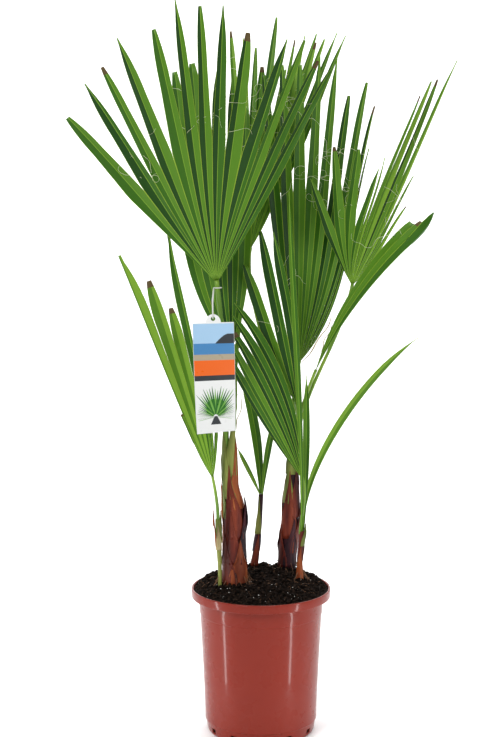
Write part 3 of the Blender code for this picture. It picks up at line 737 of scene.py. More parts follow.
# Each old sheath: stem, facing in degrees, foot, top, half wrap, lift at its top, tone
OLD_SHEATHS = (
    ("stem_left", -60.0, 0.230, 0.300, 62.0, 0.0020, ORANGE),
    ("stem_left", -140.0, 0.230, 0.310, 66.0, 0.0016, RED),
    ("stem_left", 70.0, 0.232, 0.318, 80.0, 0.0020, RED),
    ("stem_left", -105.0, 0.262, 0.345, 58.0, 0.0012, RED),
    ("stem_left", -20.0, 0.268, 0.366, 52.0, 0.0055, PURPLE),
    ("stem_left", 160.0, 0.275, 0.385, 66.0, 0.0030, ORANGE),
    ("stem_left", -95.0, 0.300, 0.412, 70.0, 0.0010, RED),
    ("stem_left", 60.0, 0.310, 0.420, 80.0, 0.0022, ORANGE),
    ("stem_left", 170.0, 0.330, 0.425, 60.0, 0.0010, OLIVE),
    ("stem_left", -40.0, 0.345, 0.450, 66.0, 0.0008, ORANGE),
    ("stem_left", -120.0, 0.360, 0.440, 58.0, 0.0006, OLIVE),
    ("stem_left", -60.0, 0.395, 0.500, 74.0, -0.0040, OLIVE),
    ("stem_left", -150.0, 0.390, 0.485, 74.0, -0.0030, OLIVE),
    ("stem_left", 60.0, 0.400, 0.480, 80.0, -0.0035, RED),
    ("stem_right", -70.0, 0.240, 0.318, 66.0, 0.0012, PURPLE),
    ("stem_right", -150.0, 0.240, 0.308, 60.0, 0.0030, RED),
    ("stem_right", 60.0, 0.242, 0.330, 84.0, 0.0016, PURPLE),
    ("stem_right", -20.0, 0.262, 0.345, 58.0, 0.0024, RED),
    ("stem_right", -110.0, 0.285, 0.392, 66.0, 0.0010, RED),
    ("stem_right", 150.0, 0.300, 0.380, 62.0, 0.0014, ORANGE),
    ("stem_right", -50.0, 0.318, 0.405, 62.0, 0.0006, RED),
    ("stem_right", -130.0, 0.340, 0.425, 54.0, 0.0006, OLIVE),
    ("stem_right", 50.0, 0.340, 0.420, 80.0, 0.0010, RED),
    ("stem_right", -100.0, 0.385, 0.455, 74.0, -0.0030, OLIVE),
    ("stem_right", 60.0, 0.385, 0.450, 80.0, -0.0030, RED),
    ("stem_middle_seedling", -80.0, 0.240, 0.292, 80.0, 0.0010, RED),
    ("stem_middle_seedling", 90.0, 0.262, 0.330, 84.0, 0.0010, PURPLE),
    ("stem_middle_seedling", -110.0, 0.290, 0.350, 70.0, 0.0005, OLIVE),
    ("stem_left_seedling", -90.0, 0.285, 0.325, 70.0, 0.0012, STRAW),
    ("stem_left_seedling", 180.0, 0.290, 0.350, 64.0, 0.0028, ORANGE),
    ("stem_left_seedling", 40.0, 0.296, 0.345, 80.0, 0.0006, OLIVE),
    ("stem_right_seedling", -90.0, 0.232, 0.286, 84.0, 0.0006, ORANGE),
    ("stem_right_seedling", 60.0, 0.262, 0.308, 84.0, 0.0008, ORANGE),
    ("stem_right_seedling", -40.0, 0.285, 0.322, 60.0, 0.0010, OLIVE),
)

for number, stem in enumerate(STEMS):
    core = stem_core(stem, number * RIDGE_SHIFT)
    add_piece(stem.name + "_core", core, [SHEATHS[stem.tone]], [stem.name])
    wraps = bmesh.new()
    for owner, facing, low, high, wrap, lift, tone in OLD_SHEATHS:
        if owner == stem.name:
            add_sheath(wraps, stem, facing, low, high, wrap, lift, tone)
    add_piece(stem.name + "_sheaths", finish_mesh(stem.name + "_sheaths", wraps),
              SHEATHS, [])

ROOTLETS_PER_STEM = {"stem_left": 16, "stem_right": 12, "stem_right_seedling": 9}
USUAL_ROOTLETS = 4
ROOTLET_STEPS = 5
ROOTLET_REACHES = (0.006, 0.013)
ROOTLET_RISES = (0.004, 0.014)
ROOTLET_RADII = (0.0005, 0.0010)
ROOTLET_DIP = 0.002
root_draw = random.Random(17)
rootlets = bmesh.new()
for stem in STEMS:
    for _ in range(ROOTLETS_PER_STEM.get(stem.name, USUAL_ROOTLETS)):
        turn = root_draw.uniform(0.0, math.tau)
        ground = soil_height(*stem.line[0][:2])
        middle, radius = stem_spot(stem, ground)
        far = root_draw.uniform(*ROOTLET_REACHES)
        tall = root_draw.uniform(*ROOTLET_RISES)
        route = []
        for step in range(ROOTLET_STEPS + 1):
            share = step / ROOTLET_STEPS
            reach = radius + 0.0004 + far * share**1.4
            height = ground + tall * (1.0 - share**1.6) - ROOTLET_DIP * share
            route.append(Vector((middle.x + reach * math.cos(turn),
                                 middle.y + reach * math.sin(turn), height)))
        add_fibre(rootlets, route, root_draw.uniform(*ROOTLET_RADII))
add_piece("rootlets", finish_mesh("rootlets", rootlets), [straw], [])


# The petioles: smooth stalks from the tops of the stems to the hubs of the fans.
# Each is one round tapering tube on a smooth line, yellow-green with darker streaks, and ends
# just inside the blade it carries.

STALK_SINK = 0.004
STALK_STEPS = 28
STALK_PAST_HUB = 0.0040
STALK_ARRIVAL = 0.35
AXIS_REACH = 0.02


@dataclass
class Fan:
    """A fan blade on its petiole. Each leaflet is (lean of its tip in degrees, reach), from left
    to right, and the roots are the leans at the hub of the first and the last. The blade tips
    backwards by back, with sweep for one side more than the other and cup for both sides more
    than the middle. Two leaflets part at the share split of the shorter one's reach. The larger
    curl is, the nearer the hub a leaflet turns to the lean of its tip."""

    name: str
    foot: tuple
    hub: tuple
    leaflets: tuple
    roots: tuple
    back: float
    sweep: float = 0.0
    cup: float = 0.0
    split: float = 0.5
    curl: float = 2.0
    petiole_radii: tuple = (0.0036, 0.0030)
    petiole_rise: float = 0.35


def even_leaflets(count, left, right, side_reach, middle_reach, seed):
    """Leaflets spaced evenly from the left lean to the right one, longest in the middle."""
    draw = random.Random(seed)
    leaflets = []
    for index in range(count):
        share = index / (count - 1)
        bulge = 1.0 - (2.0 * share - 1.0) ** 2
        lean = left + (right - left) * share + draw.uniform(-0.8, 0.8)
        reach = side_reach + (middle_reach - side_reach) * bulge
        leaflets.append((lean, reach * draw.uniform(0.95, 1.05)))
    return tuple(leaflets)


# Hubs, leans and reaches were worked out from the hubs and leaflet tips in the photograph,
# through its camera. The two back fans, which it doesn't show, are spaced evenly instead.
FANS = (
    Fan(
        "left_front",
        foot=(-0.0515, -0.0168), hub=(-0.0644, -0.045, 0.6825),
        leaflets=((-41.4, 0.328), (-32.9, 0.335), (-27.6, 0.357), (-21.6, 0.367), (-13.4, 0.380),
                  (-8.0, 0.395), (-3.1, 0.402), (1.6, 0.385), (7.4, 0.368), (16.4, 0.355),
                  (19.9, 0.379), (24.0, 0.360), (28.1, 0.357)),
        roots=(-43.0, 29.0), back=-0.18, sweep=0.03, cup=0.10, split=0.53,
        petiole_radii=(0.0039, 0.0036),
    ),
    Fan(
        "left_inner",
        foot=(-0.0426, -0.0168), hub=(-0.0433, -0.005, 0.5806),
        leaflets=((-11.7, 0.437), (-8.0, 0.444), (-2.8, 0.417), (0.0, 0.396), (3.4, 0.374)),
        roots=(-38.0, 14.0), back=0.10, split=0.62,
        petiole_radii=(0.0037, 0.0034),
    ),
    Fan(
        "left_high",
        foot=(-0.0426, -0.0076), hub=(-0.0166, 0.050, 0.7258),
        leaflets=((-2.1, 0.283), (1.6, 0.317), (6.6, 0.367), (11.4, 0.289), (12.1, 0.335),
                  (14.5, 0.332), (17.7, 0.341)),
        roots=(-10.0, 30.0), back=0.10,
    ),
    Fan(
        "left_back",
        foot=(-0.0515, -0.0076), hub=(-0.0560, 0.050, 0.6770),
        leaflets=even_leaflets(9, -27.0, 20.0, 0.200, 0.225, 5),
        roots=(-40.0, 32.0), back=1.00, sweep=0.12, cup=0.10,
    ),
    Fan(
        "right_main",
        foot=(0.0476, 0.0450), hub=(0.0571, 0.030, 0.5570),
        leaflets=((-7.1, 0.452), (-3.4, 0.465), (0.1, 0.465), (3.8, 0.458), (7.0, 0.455),
                  (10.4, 0.423), (13.5, 0.449), (16.3, 0.417), (18.0, 0.353)),
        roots=(-14.0, 40.0), back=0.06, split=0.55,
        petiole_radii=(0.0028, 0.0028),
    ),
    Fan(
        "right_inner",
        foot=(0.0456, 0.0393), hub=(0.0537, 0.010, 0.4961),
        leaflets=((-20.5, 0.235), (-12.0, 0.278), (-7.6, 0.262)),
        roots=(-27.0, 2.0), back=-0.10, sweep=-0.04, split=0.42,
        petiole_radii=(0.0027, 0.0026),
    ),
    Fan(
        "right_outer",
        foot=(0.0535, 0.0462), hub=(0.1359, 0.030, 0.6730),
        leaflets=((-21.8, 0.171), (-8.8, 0.218), (1.4, 0.212), (11.6, 0.177), (14.6, 0.195),
                  (18.1, 0.309), (20.3, 0.336), (22.6, 0.344), (24.8, 0.366), (28.3, 0.195),
                  (33.2, 0.149)),
        roots=(-26.0, 44.0), back=-0.05, sweep=0.12, split=0.52,
        petiole_radii=(0.0028, 0.0026),
    ),
    Fan(
        "right_folded",
        foot=(0.0514, 0.0397), hub=(0.0804, 0.010, 0.5459),
        leaflets=((32.6, 0.276), (34.4, 0.284), (36.2, 0.290)),
        roots=(17.0, 23.0), back=-0.15, sweep=-0.10, split=0.80, curl=1.0,
        petiole_radii=(0.0027, 0.0024),
    ),
    Fan(
        "right_high",
        foot=(0.0419, 0.0476), hub=(-0.0135, 0.075, 0.7473),
        leaflets=((-6.0, 0.326), (-2.6, 0.298), (3.3, 0.265), (15.5, 0.274), (17.9, 0.337),
                  (20.5, 0.333), (23.0, 0.331), (25.4, 0.335)),
        roots=(-14.0, 36.0), back=0.15,
        petiole_radii=(0.0028, 0.0024),
    ),
    Fan(
        "right_back",
        foot=(0.0490, 0.0511), hub=(0.0585, 0.090, 0.6000),
        leaflets=even_leaflets(8, -4.0, 10.0, 0.190, 0.255, 8),
        roots=(-10.0, 16.0), back=0.95, sweep=-0.55, cup=0.10,
        petiole_radii=(0.0027, 0.0024),
    ),
    Fan(
        "seedling_right_broad",
        foot=(0.0585, -0.0105), hub=(0.0621, -0.020, 0.3880),
        leaflets=((-30.2, 0.223), (-27.5, 0.240), (-25.0, 0.254), (-22.8, 0.267), (-20.9, 0.282)),
        roots=(-34.0, -3.0), back=-0.03, sweep=0.06, split=0.80, curl=1.0,
        petiole_radii=(0.0021, 0.0020),
    ),
    Fan(
        "seedling_left_fan",
        foot=(-0.0640, -0.0340), hub=(-0.0711, -0.040, 0.3935),
        leaflets=((-25.6, 0.111), (-22.6, 0.355), (-17.6, 0.320), (-13.8, 0.271), (-10.3, 0.363),
                  (-5.6, 0.191), (4.0, 0.080)),
        roots=(-32.0, 10.0), back=0.05, split=0.55,
        petiole_radii=(0.0028, 0.0022),
    ),
)


def bezier(corners, share):
    """Point on the smooth curve of four corner points."""
    a, b, c, d = (Vector(corner) for corner in corners)
    rest = 1.0 - share
    return a * rest**3 + b * 3 * rest**2 * share + c * 3 * rest * share**2 + d * share**3


def leaflet_side(fan, index):
    """Place of the leaflet across the fan, from -1 at the left to 1 at the right."""
    return 2.0 * index / (len(fan.leaflets) - 1) - 1.0


def leaflet_point(fan, index, distance):
    """Point on the leaflet's middle line at a distance from the hub."""
    lean, reach = fan.leaflets[index]
    side = leaflet_side(fan, index)
    root = fan.roots[0] + (fan.roots[1] - fan.roots[0]) * (side + 1.0) / 2.0
    short = 1.0 - min(1.0, distance / reach)
    angle = math.radians(lean + (root - lean) * short**fan.curl)
    back = fan.back + fan.sweep * side + fan.cup * side * side
    return Vector(fan.hub) + distance * Vector((math.sin(angle), back, math.cos(angle)))


def fan_axis(fan):
    """Direction in which the fan leaves its petiole."""
    middle = (len(fan.leaflets) - 1) // 2
    near = leaflet_point(fan, middle, AXIS_REACH) - Vector(fan.hub)
    other = leaflet_point(fan, len(fan.leaflets) - 1 - middle, AXIS_REACH) - Vector(fan.hub)
    return (near + other).normalized()


def stem_of(fan):
    """The stem that a fan grows from, told by how its name starts."""
    if fan.name.startswith("seedling_right"):
        return "stem_right_seedling"
    if fan.name.startswith("seedling_left"):
        return "stem_left_seedling"
    return "stem_left" if fan.name.startswith("left") else "stem_right"


def tube_mesh(name, points, radii, sides=12, closed=False):
    """A round tube along points, with flat ends or closed on itself."""
    shape = bmesh.new()
    rings = []
    count = len(points)
    side = None
    for index, place in enumerate(points):
        ahead = points[(index + 1) % count] if closed else points[min(index + 1, count - 1)]
        behind = points[index - 1] if closed or index else points[0]
        along = (ahead - behind).normalized()
        side = along.orthogonal() if side is None else side - along * side.dot(along)
        side.normalize()
        rings.append(add_ring(shape, place, side, along.cross(side), radii[index], sides))
    skin_rings(shape, rings, closed)
    return finish_mesh(name, shape)


stalk_green, stalk_tree, stalk_shader = finish_nodes("petiole_green", (0.14, 0.27, 0.015), 0.35)
stalk_streaks = place_group(stalk_tree, GRAIN, Scale=60.0, Detail=4.0, Stretch=(1.0, 1.0, 0.08))
mix_colours(stalk_tree, stalk_streaks, stalk_shader,
            ((0.30, (0.060, 0.16, 0.008)), (0.55, (0.15, 0.29, 0.016)), (0.75, (0.29, 0.42, 0.04))))
stalk_ridges = place_group(stalk_tree, GRAIN, Scale=300.0, Detail=3.0, Stretch=(1.0, 1.0, 0.04))
add_bump(stalk_tree, stalk_shader, stalk_ridges, 0.35, 0.0006)
spread_gloss(stalk_tree, stalk_shader, 90.0, 0.28, 0.45)

STEM_TOPS = {stem.name: stem.line[-1][2] for stem in STEMS}
for fan in FANS:
    foot = Vector((*fan.foot, STEM_TOPS[stem_of(fan)] - STALK_SINK))
    axis = fan_axis(fan)
    end = Vector(fan.hub) + axis * STALK_PAST_HUB
    span = (end - foot).length
    corners = (foot, foot + Vector((0.0, 0.0, span * fan.petiole_rise)),
               end - axis * span * STALK_ARRIVAL, end)
    points = [bezier(corners, step / STALK_STEPS) for step in range(STALK_STEPS + 1)]
    low, high = fan.petiole_radii
    radii = [low + (high - low) * step / STALK_STEPS for step in range(STALK_STEPS + 1)]
    add_piece("stalk_" + fan.name, tube_mesh("stalk_" + fan.name, points, radii), [stalk_green],
              ["petiole_" + fan.name])


# The fans: stiff blades pleated from the hub and split into V-folded leaflets half way out.
# Each leaflet is a thin closed sheet with a pale rib in its fold, yellowish margins, a
# paler underside and a tip that is often dry and cut square.

LEAF_THICKNESS = 0.00045
LEAF_ROWS = 30
LEAF_START = 0.0030
RIB_HALF_WIDTH = 0.00042
MARGIN_SHARE = 0.94
PLATE_FOLD = 0.42
FREE_FOLD = 0.62
WAIST_AT = 0.50
WAIST_SHARE = 0.72
TIP_HALF_WIDTH = 0.0009
TIP_POWER = 2.3
CUT_CHANCE = 0.6
CUT_LENGTH = 0.955
DRY_LENGTHS = (0.002, 0.014)
SHORTEST_FREE = 0.01
DROOP = 0.010
FOLD_DEEPENS = 3.0
LOOK_AHEAD = 0.002
NARROWEST_HALF = 0.0004
WIDEST_RIB_SHARE = 0.6
FAN_SEED = 40
VEIN_SCALE = (26.0, 6.0, 1.0)


def fold_point(fan, fold, distance):
    """Point on the fold between two leaflets, or on the fan's outer margin."""
    last = len(fan.leaflets) - 1
    if fold == 0:
        first = leaflet_point(fan, 0, distance)
        return first + (first - leaflet_point(fan, 1, distance)) / 2.0
    if fold == last + 1:
        first = leaflet_point(fan, last, distance)
        return first + (first - leaflet_point(fan, last - 1, distance)) / 2.0
    return (leaflet_point(fan, fold - 1, distance) + leaflet_point(fan, fold, distance)) / 2.0


def split_distance(fan, fold):
    """Distance from the hub at which the leaflets beside a fold part."""
    reaches = [reach for _, reach in fan.leaflets[max(0, fold - 1):fold + 1]]
    return fan.split * min(reaches)


def leaf_veins_group():
    """Fine veins that run along a leaf, and the gloss that goes with them. The leaf's own
    coordinates are across it, from 0 to 1, and along it, in metres."""
    group, inlet, outlet = new_group(
        "leaf_veins", {"Glossiest": NUMBER, "Roughest": NUMBER},
        {"Height": NUMBER, "Roughness": NUMBER})
    place = group.nodes.new("ShaderNodeUVMap")
    place.uv_map = "leaf"
    mapping = group.nodes.new("ShaderNodeMapping")
    mapping.inputs["Scale"].default_value = VEIN_SCALE
    veins = group.nodes.new("ShaderNodeTexNoise")
    veins.inputs["Scale"].default_value = 1.0
    veins.inputs["Detail"].default_value = 3.0
    spread = group.nodes.new("ShaderNodeMapRange")
    group.links.new(place.outputs["UV"], mapping.inputs["Vector"])
    group.links.new(mapping.outputs["Vector"], veins.inputs["Vector"])
    group.links.new(veins.outputs["Fac"], spread.inputs["Value"])
    group.links.new(inlet.outputs["Glossiest"], spread.inputs["To Min"])
    group.links.new(inlet.outputs["Roughest"], spread.inputs["To Max"])
    group.links.new(veins.outputs["Fac"], outlet.inputs["Height"])
    group.links.new(spread.outputs["Result"], outlet.inputs["Roughness"])
    return group


LEAF_VEINS = leaf_veins_group()


def leaf_material(name, colour, glossiest, roughest):
    """Leaf of one plain green, with fine lengthwise veins."""
    material, tree, shader = finish_nodes(name, colour, 0.4)
    shader.inputs["Specular IOR Level"].default_value = 0.26
    veins = place_group(tree, LEAF_VEINS, Glossiest=glossiest, Roughest=roughest).node
    add_bump(tree, shader, veins.outputs["Height"], 0.55, 0.0007)
    tree.links.new(veins.outputs["Roughness"], shader.inputs["Roughness"])
    return material


LEAF_FINISHES = [
    leaf_material("leaf_deep", (0.011, 0.056, 0.003), 0.30, 0.44),
    leaf_material("leaf_green", (0.036, 0.125, 0.005), 0.30, 0.44),
    leaf_material("leaf_fresh", (0.080, 0.205, 0.009), 0.32, 0.46),
    leaf_material("leaf_light", (0.170, 0.330, 0.022), 0.34, 0.48),
    leaf_material("leaf_underside", (0.080, 0.200, 0.055), 0.45, 0.60),
    leaf_material("leaf_margin", (0.270, 0.420, 0.030), 0.40, 0.55),
    leaf_material("leaf_rib", (0.180, 0.340, 0.025), 0.35, 0.50),
    leaf_material("leaf_dry_tip", (0.105, 0.070, 0.025), 0.60, 0.75),
]
DEEP, GREEN, FRESH, LIGHT, UNDERSIDE, MARGIN, RIB, DRY_TIP = range(8)

# The greens of each fan's left and right leaflet halves, dealt out leaflet by leaflet. The left half
# always takes the darker green as painted shade, and the right half the lighter green as painted light.
FAN_SHADED_AND_LIT_GREENS = {
    "left_front": ((DEEP, GREEN), (GREEN, FRESH), (DEEP, FRESH)),
    "left_inner": ((DEEP, GREEN), (GREEN, FRESH)),
    "left_high": ((GREEN, FRESH), (FRESH, LIGHT)),
    "right_high": ((GREEN, FRESH), (FRESH, LIGHT)),
    "right_main": ((DEEP, GREEN), (GREEN, FRESH), (DEEP, FRESH)),
    "right_inner": ((DEEP, GREEN), (DEEP, FRESH)),
    "right_outer": ((GREEN, FRESH), (FRESH, LIGHT), (DEEP, FRESH)),
    "right_folded": ((GREEN, FRESH), (FRESH, LIGHT)),
    "seedling_left_fan": ((GREEN, FRESH), (FRESH, LIGHT)),
    "seedling_right_broad": ((DEEP, GREEN), (GREEN, FRESH)),
}
USUAL_SHADED_AND_LIT_GREENS = ((DEEP, GREEN), (GREEN, FRESH))

# Broad leaflets: share of the width kept at the waist, and half width at the tip
BROAD_FANS = {"seedling_left_fan": (1.30, 0.0022), "right_folded": (1.05, 0.0018),
              "right_inner": (0.95, 0.0012)}


def waist_width(share, waist):
    """Half width of a free leaflet along its length, against its width where it parts."""
    if share < WAIST_AT:
        return 1.0 + (waist - 1.0) * share / WAIST_AT
    late = (share - WAIST_AT) / (1.0 - WAIST_AT)
    return waist * (1.0 - late**TIP_POWER)


def add_leaf_strip(shape, rows, greens, dry_length):
    """A thin closed sheet. Each row is (rib, left, right, front, fold): its middle, the two
    half widths as vectors, the way its front faces and the depth of its fold. Its last
    stretch, of the dry length, is brown."""
    uv = shape.loops.layers.uv.verify()
    rings = []
    travelled = 0.0
    last = rows[0][0]
    marks = []
    for rib, left, right, front, fold in rows:
        travelled += (rib - last).length
        last = rib
        marks.append(travelled)
        low = rib - front * fold
        near_left, near_right = (
            min(WIDEST_RIB_SHARE, RIB_HALF_WIDTH / max(half.length, NARROWEST_HALF))
            for half in (left, right))
        ring = []
        for share, half in ((1.0, left), (MARGIN_SHARE, left), (0.5, left), (near_left, left),
                            (near_right, right), (0.5, right), (MARGIN_SHARE, right), (1.0, right)):
            ring.append(shape.verts.new(low + half * share + front * fold * share))
        for share, half in ((0.5, right), (0.0, right), (0.5, left)):
            ring.append(shape.verts.new(low + half * share + front * (fold * share - LEAF_THICKNESS)))
        rings.append(ring)
    # The first green colours the left half and the second the right. For the leaves they are a darker
    # and a lighter green: painted shade on one side of the fold and painted light on the other.
    kinds = (MARGIN, greens[0], greens[0], RIB, greens[1], greens[1], MARGIN,
             UNDERSIDE, UNDERSIDE, UNDERSIDE, UNDERSIDE)
    count = len(kinds)
    across_at = (0.0, 0.1, 0.3, 0.48, 0.52, 0.7, 0.9, 1.0, 0.75, 0.5, 0.25, 0.0)
    for row in range(len(rings) - 1):
        low, high = rings[row], rings[row + 1]
        for n in range(count):
            face = shape.faces.new((low[n], high[n], high[(n + 1) % count], low[(n + 1) % count]))
            face.material_index = DRY_TIP if marks[-1] - marks[row] < dry_length else kinds[n]
            near, far = across_at[n], across_at[n + 1]
            places = ((near, marks[row]), (near, marks[row + 1]),
                      (far, marks[row + 1]), (far, marks[row]))
            for loop, place in zip(face.loops, places):
                loop[uv].uv = place
    shape.faces.new(rings[0]).material_index = greens[0]
    shape.faces.new(rings[-1][::-1]).material_index = DRY_TIP if dry_length else MARGIN


def leaf_mesh(name, shape):
    """Finish a mesh of leaf strips and name their own coordinates."""
    bmesh.ops.recalc_face_normals(shape, faces=shape.faces)
    mesh = finish_mesh(name, shape)
    mesh.uv_layers[0].name = "leaf"
    return mesh


def fan_mesh(fan, seed):
    """The fan's leaflets as strips: joined along their folds up to the split, then free."""
    draw = random.Random(seed)
    shape = bmesh.new()
    shade_and_lit_pairs = FAN_SHADED_AND_LIT_GREENS.get(fan.name, USUAL_SHADED_AND_LIT_GREENS)
    waist, blunt = BROAD_FANS.get(fan.name, (WAIST_SHARE, TIP_HALF_WIDTH))
    for index, (_, reach) in enumerate(fan.leaflets):
        starts = (split_distance(fan, index), split_distance(fan, index + 1))
        halves = [fold_point(fan, index + n, starts[n]) - leaflet_point(fan, index, starts[n])
                  for n in (0, 1)]
        cut_short = draw.random() < CUT_CHANCE
        end = reach * (CUT_LENGTH if cut_short else 1.0)
        end = end if end > max(starts) + SHORTEST_FREE else reach
        droop = draw.uniform(-1.0, 1.0) * DROOP
        rows = []
        for row in range(LEAF_ROWS + 1):
            distance = LEAF_START + (end - LEAF_START) * (row / LEAF_ROWS)
            rib = leaflet_point(fan, index, distance)
            sides = []
            free = 0.0
            for n in (0, 1):
                if distance < starts[n]:
                    sides.append(fold_point(fan, index + n, distance) - rib)
                else:
                    share = (distance - starts[n]) / (reach - starts[n])
                    free = max(free, share)
                    wide = max(halves[n].length * waist_width(share, waist), blunt)
                    sides.append(halves[n].normalized() * wide)
            ahead = leaflet_point(fan, index, distance + LOOK_AHEAD)
            front = (sides[1] - sides[0]).cross(ahead - rib).normalized()
            if front.y > 0.0:
                front = -front
            depth = PLATE_FOLD + (FREE_FOLD - PLATE_FOLD) * min(1.0, free * FOLD_DEEPENS)
            depth *= min(sides[0].length, sides[1].length)
            rows.append((rib + front * droop * free**2, sides[0], sides[1], front, depth))
        dry_length = draw.uniform(*DRY_LENGTHS) if cut_short else 0.0
        add_leaf_strip(shape, rows, draw.choice(shade_and_lit_pairs), dry_length)
    return leaf_mesh("fan_" + fan.name, shape)


for number, fan in enumerate(FANS):
    add_piece("fan_" + fan.name, fan_mesh(fan, FAN_SEED + number), LEAF_FINISHES,
              ["blade_" + fan.name])


# The seedlings' single leaves: narrow undivided blades, folded once along the rib.
# Each runs from the seedling's stem top on one smooth line and tapers to a fine tip.

@dataclass
class Ribbon:
    """A single narrow leaf: the corner points of a smooth line, and its widest half width."""

    name: str
    line: tuple
    half_width: float


# The corner points were fitted to each leaf's line in the photograph, through its camera.
RIBBONS = (
    Ribbon("seedling_right_tall",
           ((0.0612, -0.0128, 0.3085), (0.0594, -0.0450, 0.5143),
            (0.0450, -0.0376, 0.6529), (0.0390, -0.0500, 0.8159)), 0.0046),
    Ribbon("seedling_right_upright",
           ((0.0634, -0.0080, 0.3085), (0.0693, -0.0078, 0.4211),
            (0.0669, -0.0075, 0.4728), (0.0670, -0.0075, 0.5437)), 0.0052),
    Ribbon("seedling_right_arching",
           ((0.0640, -0.0034, 0.3085), (0.0550, 0.0112, 0.3946),
            (0.1497, -0.0145, 0.5438), (0.2299, -0.0200, 0.6000)), 0.0056),
    Ribbon("seedling_middle_left",
           ((-0.0015, 0.0460, 0.3525), (-0.0102, 0.0422, 0.3756),
            (-0.0254, 0.0413, 0.4037), (-0.0356, 0.0390, 0.4256)), 0.0034),
    Ribbon("seedling_middle_centre",
           ((0.0002, 0.0500, 0.3525), (-0.0011, 0.0523, 0.4076),
            (-0.0086, 0.0607, 0.4792), (-0.0318, 0.0660, 0.5388)), 0.0075),
    Ribbon("seedling_middle_right",
           ((0.0022, 0.0455, 0.3525), (0.0081, 0.0418, 0.4138),
            (0.0128, 0.0425, 0.4306), (0.0214, 0.0410, 0.4761)), 0.005),
)


RIBBON_ROWS = 36
RIBBON_SEED = 90
RIBBON_LOOK = 0.03
RIBBON_FOOT_SHARE = 0.28
RIBBON_TAPER_FROM = 0.8
RIBBON_FOLD = 0.45
# Each pair gives the leaf's first half a darker green than its second: painted shade on one side of the
# fold and painted light on the other.
RIBBON_SHADED_AND_LIT_GREENS = ((GREEN, FRESH), (FRESH, LIGHT))

for number, ribbon in enumerate(RIBBONS):
    draw = random.Random(RIBBON_SEED + number)
    rows = []
    for row in range(RIBBON_ROWS + 1):
        share = row / RIBBON_ROWS
        place = bezier(ribbon.line, share)
        along = (bezier(ribbon.line, min(1.0, share + RIBBON_LOOK))
                 - bezier(ribbon.line, max(0.0, share - RIBBON_LOOK)))
        across = along.normalized().cross(Vector((0.0, 1.0, 0.0))).normalized()
        front = across.cross(along).normalized()
        if front.y > 0.0:
            front = -front
        swell = math.sin(math.pi * min(1.0, share * 0.9))
        width = RIBBON_FOOT_SHARE + (1.0 - RIBBON_FOOT_SHARE) * swell
        late = max(0.0, (share - RIBBON_TAPER_FROM) / (1.0 - RIBBON_TAPER_FROM))
        taper = 1.0 - late**1.5
        half = max(ribbon.half_width * width * taper, TIP_HALF_WIDTH * 0.6)
        rows.append((place, -across * half, across * half, front, half * RIBBON_FOLD))
    shape = bmesh.new()
    add_leaf_strip(shape, rows, draw.choice(RIBBON_SHADED_AND_LIT_GREENS), 0.0)
    add_piece("leaf_" + ribbon.name, leaf_mesh("leaf_" + ribbon.name, shape), LEAF_FINISHES,
              ["blade_" + ribbon.name])


# The dry strips: papery straw-coloured margins that have torn away from the blades.
# They hang beside the right palm's main fan and behind the tag, thin, wavy and pointed.

# Each strip: its distance back, the corner places of its line as (x, height), its half width.
# The corner places were fitted to the strips in the photograph, through its camera.
DRY_STRIPS = (
    (0.0240, ((0.0614, 0.5592), (0.0997, 0.6046), (0.1087, 0.6338), (0.1221, 0.6674)), 0.0022),
    (0.0220, ((0.0882, 0.5746), (0.1030, 0.6112), (0.1067, 0.6117), (0.1192, 0.6436)), 0.0015),
    (0.0200, ((-0.0377, 0.4535), (-0.0329, 0.4906), (-0.0236, 0.5139), (-0.0166, 0.5507)), 0.0013),
    (0.0200, ((-0.0347, 0.4642), (-0.0467, 0.4980), (-0.0248, 0.5202), (-0.0301, 0.5446)), 0.0011),
)
STRIP_WAVE = 0.0016
STRIP_WAVES = 17.0
STRIP_TWIST = 2.0
STRIP_FOLD = 0.3
STRIP_FRONT = Vector((0.0, -1.0, 0.0))

dry_paper = sheath_material("dry_paper", (0.36, 0.28, 0.16), (0.58, 0.50, 0.34), (0.72, 0.66, 0.50))
strips = bmesh.new()
for number, (back, corners, half) in enumerate(DRY_STRIPS):
    line = [(x, back, height) for x, height in corners]
    rows = []
    for row in range(RIBBON_ROWS + 1):
        share = row / RIBBON_ROWS
        wave = Vector((STRIP_WAVE * math.sin(share * STRIP_WAVES + number), 0.0, 0.0))
        wide = half * (0.35 + 0.65 * math.sin(math.pi * share)) * (1.0 - 0.7 * share**3)
        turn = share * STRIP_TWIST
        across = Vector((math.cos(turn), math.sin(turn), 0.0)) * wide
        rows.append((bezier(line, share) + wave, -across, across, STRIP_FRONT, wide * STRIP_FOLD))
    add_leaf_strip(strips, rows, (0, 0), 0.0)
for face in strips.faces:
    face.material_index = 0
add_piece("dry_strips", leaf_mesh("dry_strips", strips), [dry_paper], [])


# The filaments: pale curly threads, the torn margins of the leaflets that once were joined.
# They hang from the splits between the leaflets of the two palms' fans. Each is a thin strand
# that wanders a short way, and all of them are joined into one piece.

FILAMENT_CHANCE = 0.55
FILAMENTS_PER_FOLD = 3
FILAMENT_RADIUS = 0.00036
FILAMENT_STEP = 0.0034
FILAMENT_STEPS = (10, 24)
FILAMENT_HEADINGS = (50.0, 130.0)
FILAMENT_BEND = 20.0
FILAMENT_SWERVE = 26.0
FILAMENT_EASE = 0.8
FILAMENT_SPREAD = 0.090
FILAMENT_LIFT = Vector((0.0, -0.0012, 0.0))
FILAMENT_SEED = 61

